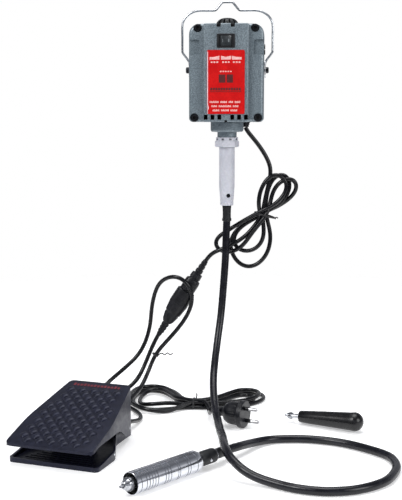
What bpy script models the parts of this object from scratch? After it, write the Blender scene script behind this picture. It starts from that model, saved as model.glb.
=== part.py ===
"""Hang-up rotary tool: a motor on a wire bail, a flexible shaft, a chuck handpiece and a foot pedal.

The origin is where a hook carries the bail, under its top bar. +Z is up and the motor's label faces -Y.
The pedal, the handpiece, the mains plug and the chuck key lie on a floor FLOOR_DROP below the hook.
"""

from math import asin, atan2, cos, pi, radians, sin

import bmesh
import bpy
from mathutils import Matrix, Vector

MM = 0.001
GAP = 0.3 * MM
FLOOR_DROP = 568 * MM

# Motor
HOUSING_WIDTH = 102 * MM
HOUSING_TOP = -29.7 * MM
HOUSING_BOTTOM = -162 * MM
LOBE_DEPTH = 32 * MM
PANEL_DEPTH = 40 * MM
PANEL_WIDTH = 61 * MM
CORNER_RADIUS = 14 * MM
PLATE_THICK = 0.5 * MM
SWITCH_Z = -53 * MM
SWITCH_SIZE = (24 * MM, 18.5 * MM)
ROCKER_SIZE = (15 * MM, 13.6 * MM)
BRUSH_Z = -63 * MM
PIVOT_Z = -91 * MM
SCREW_PLACES = (("top", 39 * MM, -35.2 * MM), ("bottom", 43.5 * MM, -156 * MM))
VENT_PLACES = tuple(x * MM for x in (-27.4, -18.1, -8.8, 8.8, 18.1, 27.4))
BAIL_WIRE = 1.5 * MM
SHAFT_RADIUS = 4 * MM
COMMUTATOR_RADIUS = 11 * MM
COLLAR_RADIUS = 23 * MM
NUT_ACROSS = 30 * MM
SLEEVE_TOP = -197.3 * MM
SLEEVE_BOTTOM = -279 * MM
FERRULE_BOTTOM = -301.5 * MM
SET_SCREW_Z = -265 * MM

# Flexible shaft
SHEATH_RADIUS = 5.3 * MM
SHEATH_WALL = 2 * MM
CORE_RADIUS = 2.2 * MM

# Handpiece: local +Z runs from the barrel's rear end to its nose
HANDPIECE_REAR = Vector((-20 * MM, -287 * MM, -FLOOR_DROP + 13.5 * MM))
HANDPIECE_YAW = radians(230.3)
BARREL_RADIUS = 13.2 * MM
BARREL_LENGTH = 108 * MM
COUPLER_END = -52 * MM
CHUCK_FRONT = 119 * MM
CONE_SLOPE = 0.2

# Pedal: local +Y runs from its open front edge to the hinge end
PEDAL_PLACE = Vector((-194.5 * MM, -287 * MM, -FLOOR_DROP))
PEDAL_YAW = radians(-16)
PEDAL_LENGTH = 150 * MM
BASE_WALL = 3 * MM
BASE_HEIGHT = 24 * MM
TREADLE_FRONT = (-12.6 * MM, 28 * MM)
TREADLE_REAR = (137.4 * MM, 70 * MM)
TREADLE_THICK = 3 * MM
HINGE = (128 * MM, 16 * MM)
PLUNGER_Y = 60 * MM
SPRING_Y = 95 * MM

# Cords
CORD_RADIUS = 3 * MM
CONNECTOR_TOP = Vector((-31 * MM, 20 * MM, -361.5 * MM))
CONNECTOR_END = Vector((-100 * MM, 20 * MM, -471 * MM))
PLUG_CENTRE = Vector((17 * MM, -110 * MM, -FLOOR_DROP + 19 * MM))
PLUG_YAW = radians(-23)
PLUG_RADIUS = 18.5 * MM
KEY_TIP = Vector((84 * MM, -81 * MM, -FLOOR_DROP + 9.2 * MM))
KEY_YAW = radians(-25)

MATERIALS = {
    "hammertone": ((0.16, 0.19, 0.21), 0.45, 0.3),
    "black_plastic": ((0.012, 0.012, 0.014), 0.45, 0.0),
    "black_rubber": ((0.01, 0.01, 0.011), 0.5, 0.0),
    "grey_plastic": ((0.1, 0.11, 0.12), 0.5, 0.0),
    "red_label": ((0.6, 0.01, 0.01), 0.4, 0.0),
    "white_plastic": ((0.75, 0.76, 0.78), 0.4, 0.0),
    "pedal_plastic": ((0.03, 0.03, 0.045), 0.55, 0.0),
    "steel": ((0.55, 0.55, 0.56), 0.3, 1.0),
    "chrome": ((0.8, 0.8, 0.82), 0.1, 1.0),
    "dark_steel": ((0.2, 0.2, 0.22), 0.4, 1.0),
    "carbon": ((0.02, 0.02, 0.02), 0.7, 0.0),
    "copper": ((0.7, 0.3, 0.15), 0.35, 1.0),
}


def clear_scene():
    for item in list(bpy.data.objects):
        bpy.data.objects.remove(item, do_unlink=True)


def material(name):
    found = bpy.data.materials.get(name)
    if found:
        return found
    colour, roughness, metallic = MATERIALS[name]
    made = bpy.data.materials.new(name)
    made.use_nodes = True
    shader = made.node_tree.nodes["Principled BSDF"]
    shader.inputs["Base Color"].default_value = (*colour, 1)
    shader.inputs["Roughness"].default_value = roughness
    shader.inputs["Metallic"].default_value = metallic
    made.diffuse_color = (*colour, 1)
    return made


def place(item, parent, location):
    bpy.context.scene.collection.objects.link(item)
    item.parent = parent
    item.location = location
    return item


def frame_at(name, location, rotation=(0, 0, 0)):
    """An empty that carries a group of pieces."""
    empty = place(bpy.data.objects.new(name, None), None, location)
    empty.rotation_euler = rotation
    return empty


def solid(name, bm, finish, parent=None, location=(0, 0, 0), smooth=35):
    """Turns a bmesh into a closed object with its faces pointing out."""
    bmesh.ops.remove_doubles(bm, verts=bm.verts, dist=1e-6)
    bmesh.ops.recalc_face_normals(bm, faces=bm.faces)
    mesh = bpy.data.meshes.new(name)
    bm.to_mesh(mesh)
    bm.free()
    if sum(p.center.dot(p.normal) * p.area for p in mesh.polygons) < 0:
        mesh.flip_normals()
    if smooth:
        mesh.shade_smooth()
        mesh.set_sharp_from_angle(angle=radians(smooth))
    mesh.materials.append(material(finish))
    return place(bpy.data.objects.new(name, mesh), parent, location)


def turned(name, profile, finish, steps=24, turn=None, **where):
    """Turns a closed profile of (radius, height) points about Z, then applies the matrix `turn`."""
    bm = bmesh.new()
    points = [bm.verts.new((radius, 0, height)) for radius, height in profile]
    count = len(points)
    edges = [
        bm.edges.new((points[i], points[(i + 1) % count]))
        for i in range(count)
        if max(profile[i][0], profile[(i + 1) % count][0]) > 0
    ]
    bmesh.ops.spin(
        bm, geom=points + edges, axis=(0, 0, 1), cent=(0, 0, 0), angle=2 * pi, steps=steps, use_merge=True
    )
    if turn:
        bmesh.ops.transform(bm, matrix=turn, verts=bm.verts)
    return solid(name, bm, finish, **where)


def rod(radius, low, high):
    """The profile of a plain cylinder."""
    return [(0, high), (radius, high), (radius, low), (0, low)]


def ring(inner, outer, low, high):
    """The profile of a plain bush."""
    return [(inner, high), (outer, high), (outer, low), (inner, low)]


ALONG_X = Matrix.Rotation(pi / 2, 4, "Y")
ALONG_FRONT = Matrix.Rotation(pi / 2, 4, "X")


def extruded(name, outline, depth, finish, turn=None, **where):
    """Extrudes a flat outline up by `depth`, then applies the matrix `turn`."""
    bm = bmesh.new()
    face = bm.faces.new([bm.verts.new((x, y, 0)) for x, y in outline])
    grown = bmesh.ops.extrude_face_region(bm, geom=[face])
    top = [item for item in grown["geom"] if isinstance(item, bmesh.types.BMVert)]
    bmesh.ops.translate(bm, vec=(0, 0, depth), verts=top)
    if turn:
        bmesh.ops.transform(bm, matrix=turn, verts=bm.verts)
    return solid(name, bm, finish, **where)


def block(name, low, high, finish, bevel=0.0, **where):
    """A box between two corners, with its edges rounded by `bevel`."""
    bm = bmesh.new()
    size = [b - a for a, b in zip(low, high)]
    middle = [(a + b) / 2 for a, b in zip(low, high)]
    bmesh.ops.create_cube(bm, size=1, matrix=Matrix.Translation(middle) @ Matrix.Diagonal((*size, 1)))
    if bevel:
        bmesh.ops.bevel(
            bm, geom=list(bm.edges), offset=bevel, segments=2, profile=0.5, affect="EDGES", material=-1
        )
    return solid(name, bm, finish, **where)


def combine(target, tool, operation="DIFFERENCE"):
    """Cuts or joins with a helper, which stays out of the render."""
    tool.hide_render = True
    tool.display_type = "WIRE"
    modifier = target.modifiers.new(tool.name, "BOOLEAN")
    modifier.operation = operation
    modifier.solver = "EXACT"
    modifier.object = tool


def arc(centre, radius, start, end, count):
    """Points along an arc, from the angle `start` to `end` in degrees."""
    angles = [radians(start + (end - start) * i / (count - 1)) for i in range(count)]
    return [(centre[0] + radius * cos(a), centre[1] + radius * sin(a)) for a in angles]


def rounded(half_width, low, high, top_radius, bottom_radius, count=5):
    """A rectangle outline with rounded corners."""
    top = high - top_radius
    bottom = low + bottom_radius
    points = arc((half_width - top_radius, top), top_radius, 0, 90, count)
    points += arc((-half_width + top_radius, top), top_radius, 90, 180, count)
    points += arc((-half_width + bottom_radius, bottom), bottom_radius, 180, 270, count)
    points += arc((half_width - bottom_radius, bottom), bottom_radius, 270, 360, count)
    return points


def smooth_route(points, spacing):
    """Even points along a smooth curve through the route's own points."""
    ends = [2 * points[0] - points[1], *points, 2 * points[-1] - points[-2]]
    fine = []
    for a, b, c, d in zip(ends, ends[1:], ends[2:], ends[3:]):
        for i in range(16):
            t = i / 16
            fine.append(
                0.5 * (2 * b + (c - a) * t + (2 * a - 5 * b + 4 * c - d) * t**2 + (3 * b - a - 3 * c + d) * t**3)
            )
    fine.append(points[-1])
    lengths = [0.0]
    for a, b in zip(fine, fine[1:]):
        lengths.append(lengths[-1] + (b - a).length)
    count = max(2, round(lengths[-1] / spacing))
    even = []
    at = 0
    for i in range(count + 1):
        wanted = lengths[-1] * i / count
        while at < len(fine) - 2 and lengths[at + 1] < wanted:
            at += 1
        share = (wanted - lengths[at]) / (lengths[at + 1] - lengths[at])
        even.append(fine[at].lerp(fine[at + 1], share))
    return even


def tube(name, route, radius, finish, sides=2, caps=True, parent=None):
    """A cord or a wire: a bevelled poly line."""
    curve = bpy.data.curves.new(name, "CURVE")
    curve.dimensions = "3D"
    curve.bevel_depth = radius
    curve.bevel_resolution = sides
    curve.use_fill_caps = caps
    line = curve.splines.new("POLY")
    line.points.add(len(route) - 1)
    for point, spot in zip(line.points, route):
        point.co = (*spot, 1)
    curve.materials.append(material(finish))
    return place(bpy.data.objects.new(name, curve), parent, (0, 0, 0))


def millimetres(points):
    return [Vector(p) * MM for p in points]


# Motor ------------------------------------------------------------------------------------------


def shell(name, side):
    """One half of the cast housing. `side` is -1 for the front half and 1 for the rear half."""
    face_out = Matrix.Diagonal((1, side, 1, 1)) @ Matrix.Rotation(pi / 2, 4, "X") @ Matrix.Diagonal((1, 1, -1, 1))
    start = Matrix.Translation((0, side * GAP / 2, 0))
    body = extruded(
        name,
        rounded(HOUSING_WIDTH / 2, HOUSING_BOTTOM, HOUSING_TOP, CORNER_RADIUS, 5 * MM),
        LOBE_DEPTH - GAP / 2,
        "hammertone",
        turn=start @ face_out,
    )
    panel = extruded(
        name + "_panel",
        rounded(PANEL_WIDTH / 2, HOUSING_BOTTOM, HOUSING_TOP, 2 * MM, 2 * MM, 2),
        PANEL_DEPTH - 10 * MM,
        "hammertone",
        turn=Matrix.Translation((0, side * 10 * MM, 0)) @ face_out,
    )
    combine(body, panel, "UNION")
    cavity = extruded(
        name + "_cavity",
        rounded(43 * MM, -157.5 * MM, -34.5 * MM, 16 * MM, 16 * MM, 2),
        35 * MM,
        "hammertone",
        turn=Matrix.Translation((0, -side * 2 * MM, 0)) @ face_out,
    )
    lobe_cover = block(
        name + "_cavity_step",
        (-50 * MM, min(side * 28 * MM, side * 50 * MM), -170 * MM),
        (50 * MM, max(side * 28 * MM, side * 50 * MM), -20 * MM),
        "hammertone",
    )
    panel_room = block(
        name + "_cavity_room",
        (-25 * MM, min(side * 20 * MM, side * 60 * MM), -180 * MM),
        (25 * MM, max(side * 20 * MM, side * 60 * MM), -10 * MM),
        "hammertone",
    )
    combine(lobe_cover, panel_room)
    combine(cavity, lobe_cover)
    combine(body, cavity)
    bores = [
        turned(name + "_top_bore", rod(9.8 * MM, -46 * MM, -20 * MM), "hammertone", 20),
        turned(name + "_neck_bore", rod(9.8 * MM, -170 * MM, -149 * MM), "hammertone", 20),
        turned(name + "_brush_bore", rod(7.7 * MM, -60 * MM, 60 * MM), "hammertone", 20, ALONG_X),
        turned(name + "_pivot_bore", rod(2.3 * MM, -60 * MM, 60 * MM), "hammertone", 12, ALONG_X),
    ]
    bores[2].location = (0, 0, BRUSH_Z)
    bores[3].location = (0, 0, PIVOT_Z)
    for label, x, z in SCREW_PLACES:
        for hand in (-1, 1):
            hole = turned(
                f"{name}_{label}_hole_{hand}", rod(2.3 * MM, -60 * MM, 60 * MM), "hammertone", 12, ALONG_FRONT
            )
            hole.location = (hand * x, 0, z)
            bores.append(hole)
            if side < 0:
                seat = turned(
                    f"{name}_{label}_seat_{hand}", rod(5.8 * MM, 0, 20 * MM), "hammertone", 16, ALONG_FRONT
                )
                seat.location = (hand * x, -LOBE_DEPTH + 5 * MM, z)
                bores.append(seat)
    for bore in bores:
        combine(body, bore)
    for i, x in enumerate(VENT_PLACES):
        slot = block(
            f"{name}_vent_{i}",
            (x - 2.5 * MM, min(side * 30 * MM, side * 50 * MM), -157 * MM),
            (x + 2.5 * MM, max(side * 30 * MM, side * 50 * MM), -152.8 * MM),
            "hammertone",
        )
        combine(body, slot)
    return body


def housing():
    front = shell("front_shell", -1)
    width, height = SWITCH_SIZE
    opening = block(
        "switch_opening",
        (-width / 2 + 1.2 * MM, -45 * MM, SWITCH_Z - height / 2 + 1.2 * MM),
        (width / 2 - 1.2 * MM, -25 * MM, SWITCH_Z + height / 2 - 1.2 * MM),
        "hammertone",
    )
    combine(front, opening)
    rear = shell("rear_shell", 1)
    cord_hole = turned("cord_hole", rod(5.2 * MM, -170 * MM, -150 * MM), "hammertone", 16)
    cord_hole.location = (25 * MM, 20 * MM, 0)
    combine(rear, cord_hole)


def shell_screws():
    """Socket screws that run from the front half's seats into the rear half."""
    seat = LOBE_DEPTH - 4.6 * MM
    profile = [
        (0, seat + 1.6 * MM),
        (2.4 * MM, seat + 1.6 * MM),
        (2.4 * MM, seat + 4.2 * MM),
        (5.2 * MM, seat + 4.2 * MM),
        (5.2 * MM, seat),
        (1.9 * MM, seat),
        (1.9 * MM, -24 * MM),
        (0, -24 * MM),
    ]
    for label, x, z in SCREW_PLACES:
        for hand, side in ((-1, "left"), (1, "right")):
            turned(
                f"shell_screw_{label}_{side}",
                profile,
                "black_plastic",
                16,
                ALONG_FRONT,
                location=(hand * x, 0, z),
            )


def motor_ends():
    outer = 15.5 * MM
    base = HOUSING_TOP + GAP
    turned(
        "top_vent_cap",
        [
            (0, -19.8 * MM),
            (8 * MM, -20.3 * MM),
            (13 * MM, -22.5 * MM),
            (outer, -26 * MM),
            (outer, base),
            (12.5 * MM, base),
            (12.5 * MM, -27 * MM),
            (10 * MM, -24 * MM),
            (0, -23 * MM),
        ],
        "black_plastic",
    )
    low = HOUSING_BOTTOM - GAP
    neck = 13.5 * MM
    turned(
        "nose_collar",
        [
            (9.5 * MM, low),
            (COLLAR_RADIUS, low),
            (COLLAR_RADIUS, -174 * MM),
            (COLLAR_RADIUS - 2 * MM, -176 * MM),
            (neck, -176 * MM),
            (neck, -183.2 * MM),
            (9.5 * MM, -183.2 * MM),
        ],
        "hammertone",
        24,
    )
    radius = NUT_ACROSS / 2 / cos(pi / 6)
    turned(
        "coupling_nut",
        ring(7.5 * MM, radius, SLEEVE_TOP + GAP, -183.5 * MM),
        "white_plastic",
        6,
        turn=Matrix.Rotation(pi / 6, 4, "Z"),
    )


def switch():
    width, height = (size / 2 for size in SWITCH_SIZE)
    face = -PANEL_DEPTH - GAP
    frame = block(
        "switch_frame",
        (-width, face - 1.6 * MM, SWITCH_Z - height),
        (width, face, SWITCH_Z + height),
        "black_plastic",
    )
    inset = 1.5 * MM
    barrel = block(
        "switch_frame_barrel",
        (-width + inset, -40.9 * MM, SWITCH_Z - height + inset),
        (width - inset, -30 * MM, SWITCH_Z + height - inset),
        "black_plastic",
    )
    combine(frame, barrel, "UNION")
    half_x = ROCKER_SIZE[0] / 2 + 1 * MM
    half_z = ROCKER_SIZE[1] / 2 + 0.4 * MM
    well = block(
        "switch_frame_well",
        (-half_x, -50 * MM, SWITCH_Z - half_z),
        (half_x, -33 * MM, SWITCH_Z + half_z),
        "black_plastic",
    )
    combine(frame, well)
    wide, tall = ROCKER_SIZE[0] / 2, ROCKER_SIZE[1]
    outline = [
        (-wide, -3.4 * MM),
        (0, -2.2 * MM),
        (wide, -3.4 * MM),
        (wide - 1 * MM, 1.2 * MM),
        (2.5 * MM, 3.2 * MM),
        (-2.5 * MM, 3.2 * MM),
        (-wide + 1 * MM, 1.2 * MM),
    ]
    extruded(
        "switch_rocker",
        outline,
        tall,
        "grey_plastic",
        turn=Matrix.Translation((0, 0, -tall / 2)),
        location=(0, -39.5 * MM, SWITCH_Z),
    )


def name_plate():
    outline = rounded(25.5 * MM, -151 * MM, -65.4 * MM, 2 * MM, 2 * MM, 3)
    extruded(
        "name_plate", outline, PLATE_THICK, "red_label", turn=ALONG_FRONT, location=(0, -PANEL_DEPTH - GAP, 0)
    )


def brushes():
    for hand, side in ((-1, "left"), (1, "right")):
        outward = ALONG_X if hand > 0 else Matrix.Rotation(-pi / 2, 4, "Y")
        cap = [
            (0, 51.4 * MM),
            (4.6 * MM, 51.4 * MM),
            (4.6 * MM, 52.5 * MM),
            (7.2 * MM, 52.5 * MM),
            (7.2 * MM, 36 * MM),
            (0, 36 * MM),
        ]
        turned(f"brush_cap_{side}", cap, "black_plastic", 20, outward, location=(0, 0, BRUSH_Z))
        inner = COMMUTATOR_RADIUS + 0.4 * MM
        near, far = sorted((hand * inner, hand * (inner + 16 * MM)))
        block(
            f"carbon_brush_{side}",
            (near, -3.2 * MM, -4 * MM),
            (far, 3.2 * MM, 4 * MM),
            "carbon",
            location=(0, 0, BRUSH_Z),
        )


def armature():
    hole = SHAFT_RADIUS + GAP
    turned("armature_shaft", rod(SHAFT_RADIUS, -178 * MM, -37 * MM), "steel", 16)
    turned("commutator", ring(hole, COMMUTATOR_RADIUS, -72 * MM, -54 * MM), "copper", 24)
    turned("armature_core", ring(hole, 19.5 * MM, -130 * MM, -88 * MM), "dark_steel", 24)
    turned("field_core", ring(20.5 * MM, 33 * MM, -132 * MM, -86 * MM), "dark_steel", 24)
    turned("upper_bearing", ring(hole, 9.4 * MM, -46 * MM, -38 * MM), "steel", 20)
    turned("lower_bearing", ring(hole, 9.4 * MM, -160 * MM, -151 * MM), "steel", 20)
    blades = 9
    outline = []
    for i in range(blades):
        for share, radius in ((0.0, 9), (0.35, 9), (0.45, 28), (0.75, 28)):
            angle = 2 * pi * (i + share) / blades
            outline.append((radius * MM * cos(angle), radius * MM * sin(angle)))
    fan = extruded("cooling_fan", outline, 9 * MM, "grey_plastic", location=(0, 0, -147 * MM))
    bore = turned("fan_bore", rod(hole, -5 * MM, 15 * MM), "grey_plastic", 16, location=(0, 0, -147 * MM))
    combine(fan, bore)


def cord_gland():
    turned(
        "cord_gland",
        [
            (0, -150.5 * MM),
            (4.9 * MM, -150.5 * MM),
            (4.9 * MM, -162.3 * MM),
            (6.5 * MM, -162.3 * MM),
            (6.5 * MM, -165 * MM),
            (4.2 * MM, -169.5 * MM),
            (0, -169.5 * MM),
        ],
        "black_rubber",
        16,
        location=(25 * MM, 20 * MM, 0),
    )


def bail_route():
    """Half of the bail's centre line, from the top middle down to where the wire is flattened."""
    return millimetres(
        [
            (0, 0, 1.5),
            (5, 0, 1.5),
            (8, 0, 0.3),
            (15, 0, -8),
            (18, 0, -9.6),
            (24, 0, -9.8),
            (39, 0, -9.8),
            (48, 0, -11.8),
            (56, 0, -16.9),
            (61, 0, -24),
            (62.5, 0, -32),
            (62.5, 0, -64),
            (61.4, 0, -68),
            (54.6, 0, -77),
            (52.6, 0, -81),
            (52.6, 0, -84),
        ]
    )


def bail():
    """A bent wire whose ends are flattened into pierced tabs."""
    right = bail_route()
    left = [Vector((-p.x, p.y, p.z)) for p in reversed(right[1:])]
    route = [p - Vector((0, 0, PIVOT_Z)) for p in left + right]
    bm = bmesh.new()
    sides = 8
    rings = []
    for i, point in enumerate(route):
        ahead = (route[min(i + 1, len(route) - 1)] - route[max(i - 1, 0)]).normalized()
        up = ahead.cross(Vector((0, 1, 0))).normalized()
        angles = [2 * pi * k / sides for k in range(sides)]
        spots = [point + BAIL_WIRE * (up * cos(a) + Vector((0, 1, 0)) * sin(a)) for a in angles]
        rings.append([bm.verts.new(spot) for spot in spots])
    for a, b in zip(rings, rings[1:]):
        for k in range(sides):
            bm.faces.new((a[k], a[(k + 1) % sides], b[(k + 1) % sides], b[k]))
    bm.faces.new(rings[0])
    bm.faces.new(rings[-1])
    wire = solid("bail", bm, "steel", location=(0, 0, PIVOT_Z))
    for hand in (-1, 1):
        tab = extruded(
            f"bail_tab_{hand}",
            rounded(6 * MM, -10.5 * MM, 12 * MM, 3 * MM, 5.9 * MM),
            1.5 * MM,
            "steel",
            turn=Matrix.Translation((hand * 52.4 * MM - 0.75 * MM, 0, 0))
            @ Matrix.Rotation(pi / 2, 4, "Z")
            @ Matrix.Rotation(pi / 2, 4, "X"),
            location=(0, 0, PIVOT_Z),
        )
        combine(wire, tab, "UNION")
    hole = turned("bail_holes", rod(2.4 * MM, -70 * MM, 70 * MM), "steel", 16, ALONG_X, location=(0, 0, PIVOT_Z))
    combine(wire, hole)


def bail_screws():
    for hand, side in ((-1, "left"), (1, "right")):
        outward = ALONG_X if hand > 0 else Matrix.Rotation(-pi / 2, 4, "Y")
        profile = [
            (0, 57.5 * MM),
            (3.4 * MM, 57.5 * MM),
            (4.3 * MM, 56.6 * MM),
            (4.3 * MM, 53.6 * MM),
            (1.9 * MM, 53.6 * MM),
            (1.9 * MM, 45 * MM),
            (0, 45 * MM),
        ]
        turned(f"bail_screw_{side}", profile, "black_plastic", 16, outward, location=(0, 0, PIVOT_Z))


# Flexible shaft ---------------------------------------------------------------------------------


def connector_sleeve():
    top, bottom = SLEEVE_TOP, SLEEVE_BOTTOM
    sleeve = turned(
        "connector_sleeve",
        [
            (6.8 * MM, top),
            (10.9 * MM, top),
            (10.9 * MM, -250 * MM),
            (10 * MM, -262 * MM),
            (8.8 * MM, bottom),
            (6.8 * MM, bottom),
        ],
        "white_plastic",
        24,
    )
    hole = turned("set_screw_hole", rod(3 * MM, 0, 20 * MM), "white_plastic", 16, ALONG_FRONT)
    hole.location = (0, 0, SET_SCREW_Z)
    combine(sleeve, hole)
    screw = [
        (0, 9.2 * MM),
        (1.4 * MM, 9.2 * MM),
        (1.4 * MM, 9.7 * MM),
        (2.6 * MM, 9.7 * MM),
        (2.6 * MM, 6.8 * MM),
        (0, 6.8 * MM),
    ]
    turned("sleeve_set_screw", screw, "dark_steel", 12, ALONG_FRONT, location=(0, 0, SET_SCREW_Z))
    turned(
        "sheath_ferrule",
        [
            (3.6 * MM, -240 * MM),
            (6.4 * MM, -240 * MM),
            (6.4 * MM, FERRULE_BOTTOM + 1 * MM),
            (5.8 * MM, FERRULE_BOTTOM),
            (3.6 * MM, FERRULE_BOTTOM),
        ],
        "black_plastic",
        20,
    )


def handpiece_point(height):
    """A world point on the handpiece's axis."""
    nose = Vector((cos(HANDPIECE_YAW), sin(HANDPIECE_YAW), 0))
    return HANDPIECE_REAR + nose * height


def sheath_route():
    """The sheath's centre line, from the ferrule down to the floor, round its loop and into the coupler."""
    return [
        Vector((0, 0, FERRULE_BOTTOM - GAP)),
        *millimetres(
            [
                (-1, -1, -330),
                (-2, -4, -362),
                (-6.5, -14, -427),
                (-11, -30, -467),
                (-14, -52, -497),
                (-14.4, -72, -515),
                (-12.5, -95, -530),
                (-9, -118, -542),
                (-4, -146, -550),
                (0.5, -178, -552),
                (5, -215, -547.5),
                (8, -250, -542),
                (12, -280, -541.5),
                (19, -303, -545),
                (33, -320, -552.5),
                (50, -330, -558.5),
                (74, -341, -562),
                (99, -353, -562.5),
                (131, -358, -562.5),
                (165, -348, -562.5),
                (195, -322, -562.5),
                (211, -286, -562.5),
                (214, -258, -562.5),
                (208, -233, -562.5),
                (189, -211, -562.5),
                (164, -191, -562.5),
                (141, -180, -562.5),
                (115, -174, -562.5),
                (90, -174, -562.5),
                (64, -181, -562),
                (44, -200, -560),
            ]
        ),
        handpiece_point(COUPLER_END - 20 * MM) + Vector((0, 0, -0.5 * MM)),
        handpiece_point(COUPLER_END - GAP),
    ]


def flexible_shaft():
    """The hollow sheath, and the wound core that turns inside it."""
    route = smooth_route(sheath_route(), 24 * MM)
    sheath = tube("sheath", route, SHEATH_RADIUS, "black_rubber", caps=False)
    wall = sheath.modifiers.new("wall", "SOLIDIFY")
    wall.thickness = SHEATH_WALL
    wall.offset = -1
    wall.use_rim = True
    motor_end = millimetres([(0, 0, -179), (0, 0, -240)])
    tool_end = [handpiece_point(COUPLER_END * 0.5), handpiece_point(20 * MM)]
    tube("flex_core", motor_end + route + tool_end, CORE_RADIUS, "steel")


def coupler(handpiece):
    """The ferrule, collar and spigot on which the handpiece snaps."""
    bore = 3 * MM
    turned(
        "tool_end_coupler",
        [
            (bore, COUPLER_END),
            (5.8 * MM, COUPLER_END),
            (6.2 * MM, COUPLER_END + 1 * MM),
            (6.2 * MM, -26 * MM),
            (8.2 * MM, -26 * MM),
            (9 * MM, -25 * MM),
            (9 * MM, -0.6 * MM),
            (6.3 * MM, -0.6 * MM),
            (6.3 * MM, 22 * MM),
            (bore, 22 * MM),
        ],
        "black_plastic",
        16,
        parent=handpiece,
    )
    turned("key_tip", rod(2 * MM, 20.4 * MM, 46 * MM), "steel", 12, parent=handpiece)


# Handpiece --------------------------------------------------------------------------------------


def chuck_bore(height):
    """The radius of the chuck's conical bore."""
    return 2.5 * MM + CONE_SLOPE * (CHUCK_FRONT - height)


def jaw(name, index, handpiece):
    """A third of a cone that slides in the chuck's bore."""
    offset = 0.35 * MM
    turn = 2 * pi * index / 3
    sections = (
        (105 * MM, chuck_bore(105 * MM) - 0.4 * MM),
        (CHUCK_FRONT, chuck_bore(CHUCK_FRONT) - 0.4 * MM),
        (124.5 * MM, 1.2 * MM),
    )
    bm = bmesh.new()
    rings = []
    for height, radius in sections:
        spread = pi / 3 - asin(offset * sin(pi / 3) / radius)
        flat = [(offset, 0.0)]
        for k in range(6):
            angle = spread * (2 * k / 5 - 1)
            flat.append((radius * cos(angle), radius * sin(angle)))
        spin = Matrix.Rotation(turn, 3, "Z")
        rings.append([bm.verts.new(spin @ Vector((x, y, height))) for x, y in flat])
    for a, b in zip(rings, rings[1:]):
        for k in range(len(a)):
            n = (k + 1) % len(a)
            bm.faces.new((a[k], a[n], b[n], b[k]))
    bm.faces.new(rings[0])
    bm.faces.new(rings[-1])
    solid(name, bm, "steel", parent=handpiece)


def handpiece_parts(handpiece):
    r = BARREL_RADIUS
    turned(
        "handpiece_barrel",
        [
            (6.8 * MM, 0),
            (r - 2 * MM, 0),
            (r, 2.5 * MM),
            (r, BARREL_LENGTH),
            (r - 0.8 * MM, BARREL_LENGTH),
            (r - 0.8 * MM, 98 * MM),
            (9.2 * MM, 98 * MM),
            (9.2 * MM, 27 * MM),
            (6.8 * MM, 27 * MM),
        ],
        "chrome",
        24,
        parent=handpiece,
    )
    turned("nose_ring", ring(9 * MM, r - 1.2 * MM, 98.4 * MM, 106 * MM), "black_plastic", 24, parent=handpiece)
    turned(
        "spindle_bearing", ring(4.8 * MM, 8.9 * MM, 74 * MM, 82 * MM), "steel", 20, parent=handpiece
    )
    turned(
        "spindle_shaft",
        [
            (2.4 * MM, 30 * MM),
            (4.5 * MM, 30 * MM),
            (4.5 * MM, 94.6 * MM),
            (0, 94.6 * MM),
            (0, 52 * MM),
            (2.4 * MM, 52 * MM),
        ],
        "steel",
        16,
        parent=handpiece,
    )
    turned(
        "chuck_body",
        [
            (0, 95 * MM),
            (8.2 * MM, 95 * MM),
            (8.2 * MM, 100.6 * MM),
            (7.1 * MM, 100.6 * MM),
            (7.1 * MM, 113.4 * MM),
            (4.3 * MM, CHUCK_FRONT),
            (chuck_bore(CHUCK_FRONT), CHUCK_FRONT),
            (chuck_bore(97 * MM), 97 * MM),
            (0, 97 * MM),
        ],
        "steel",
        24,
        parent=handpiece,
    )
    turned("chuck_sleeve", ring(7.4 * MM, 8.5 * MM, 101 * MM, 113 * MM), "dark_steel", 24, parent=handpiece)
    for i in range(3):
        jaw(f"jaw_{i + 1}", i, handpiece)


# Foot pedal -------------------------------------------------------------------------------------


def base_outline(inset=0.0):
    return [
        (60 * MM - inset, inset),
        (60 * MM - inset, 50 * MM),
        (38 * MM - inset, 100 * MM),
        (38 * MM - inset, PEDAL_LENGTH - inset),
        (-38 * MM + inset, PEDAL_LENGTH - inset),
        (-38 * MM + inset, 100 * MM),
        (-60 * MM + inset, 50 * MM),
        (-60 * MM + inset, inset),
    ]


def treadle_height(y):
    """The height of the treadle's upper face."""
    (y0, z0), (y1, z1) = TREADLE_FRONT, TREADLE_REAR
    return z0 + (z1 - z0) * (y - y0) / (y1 - y0)


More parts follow.
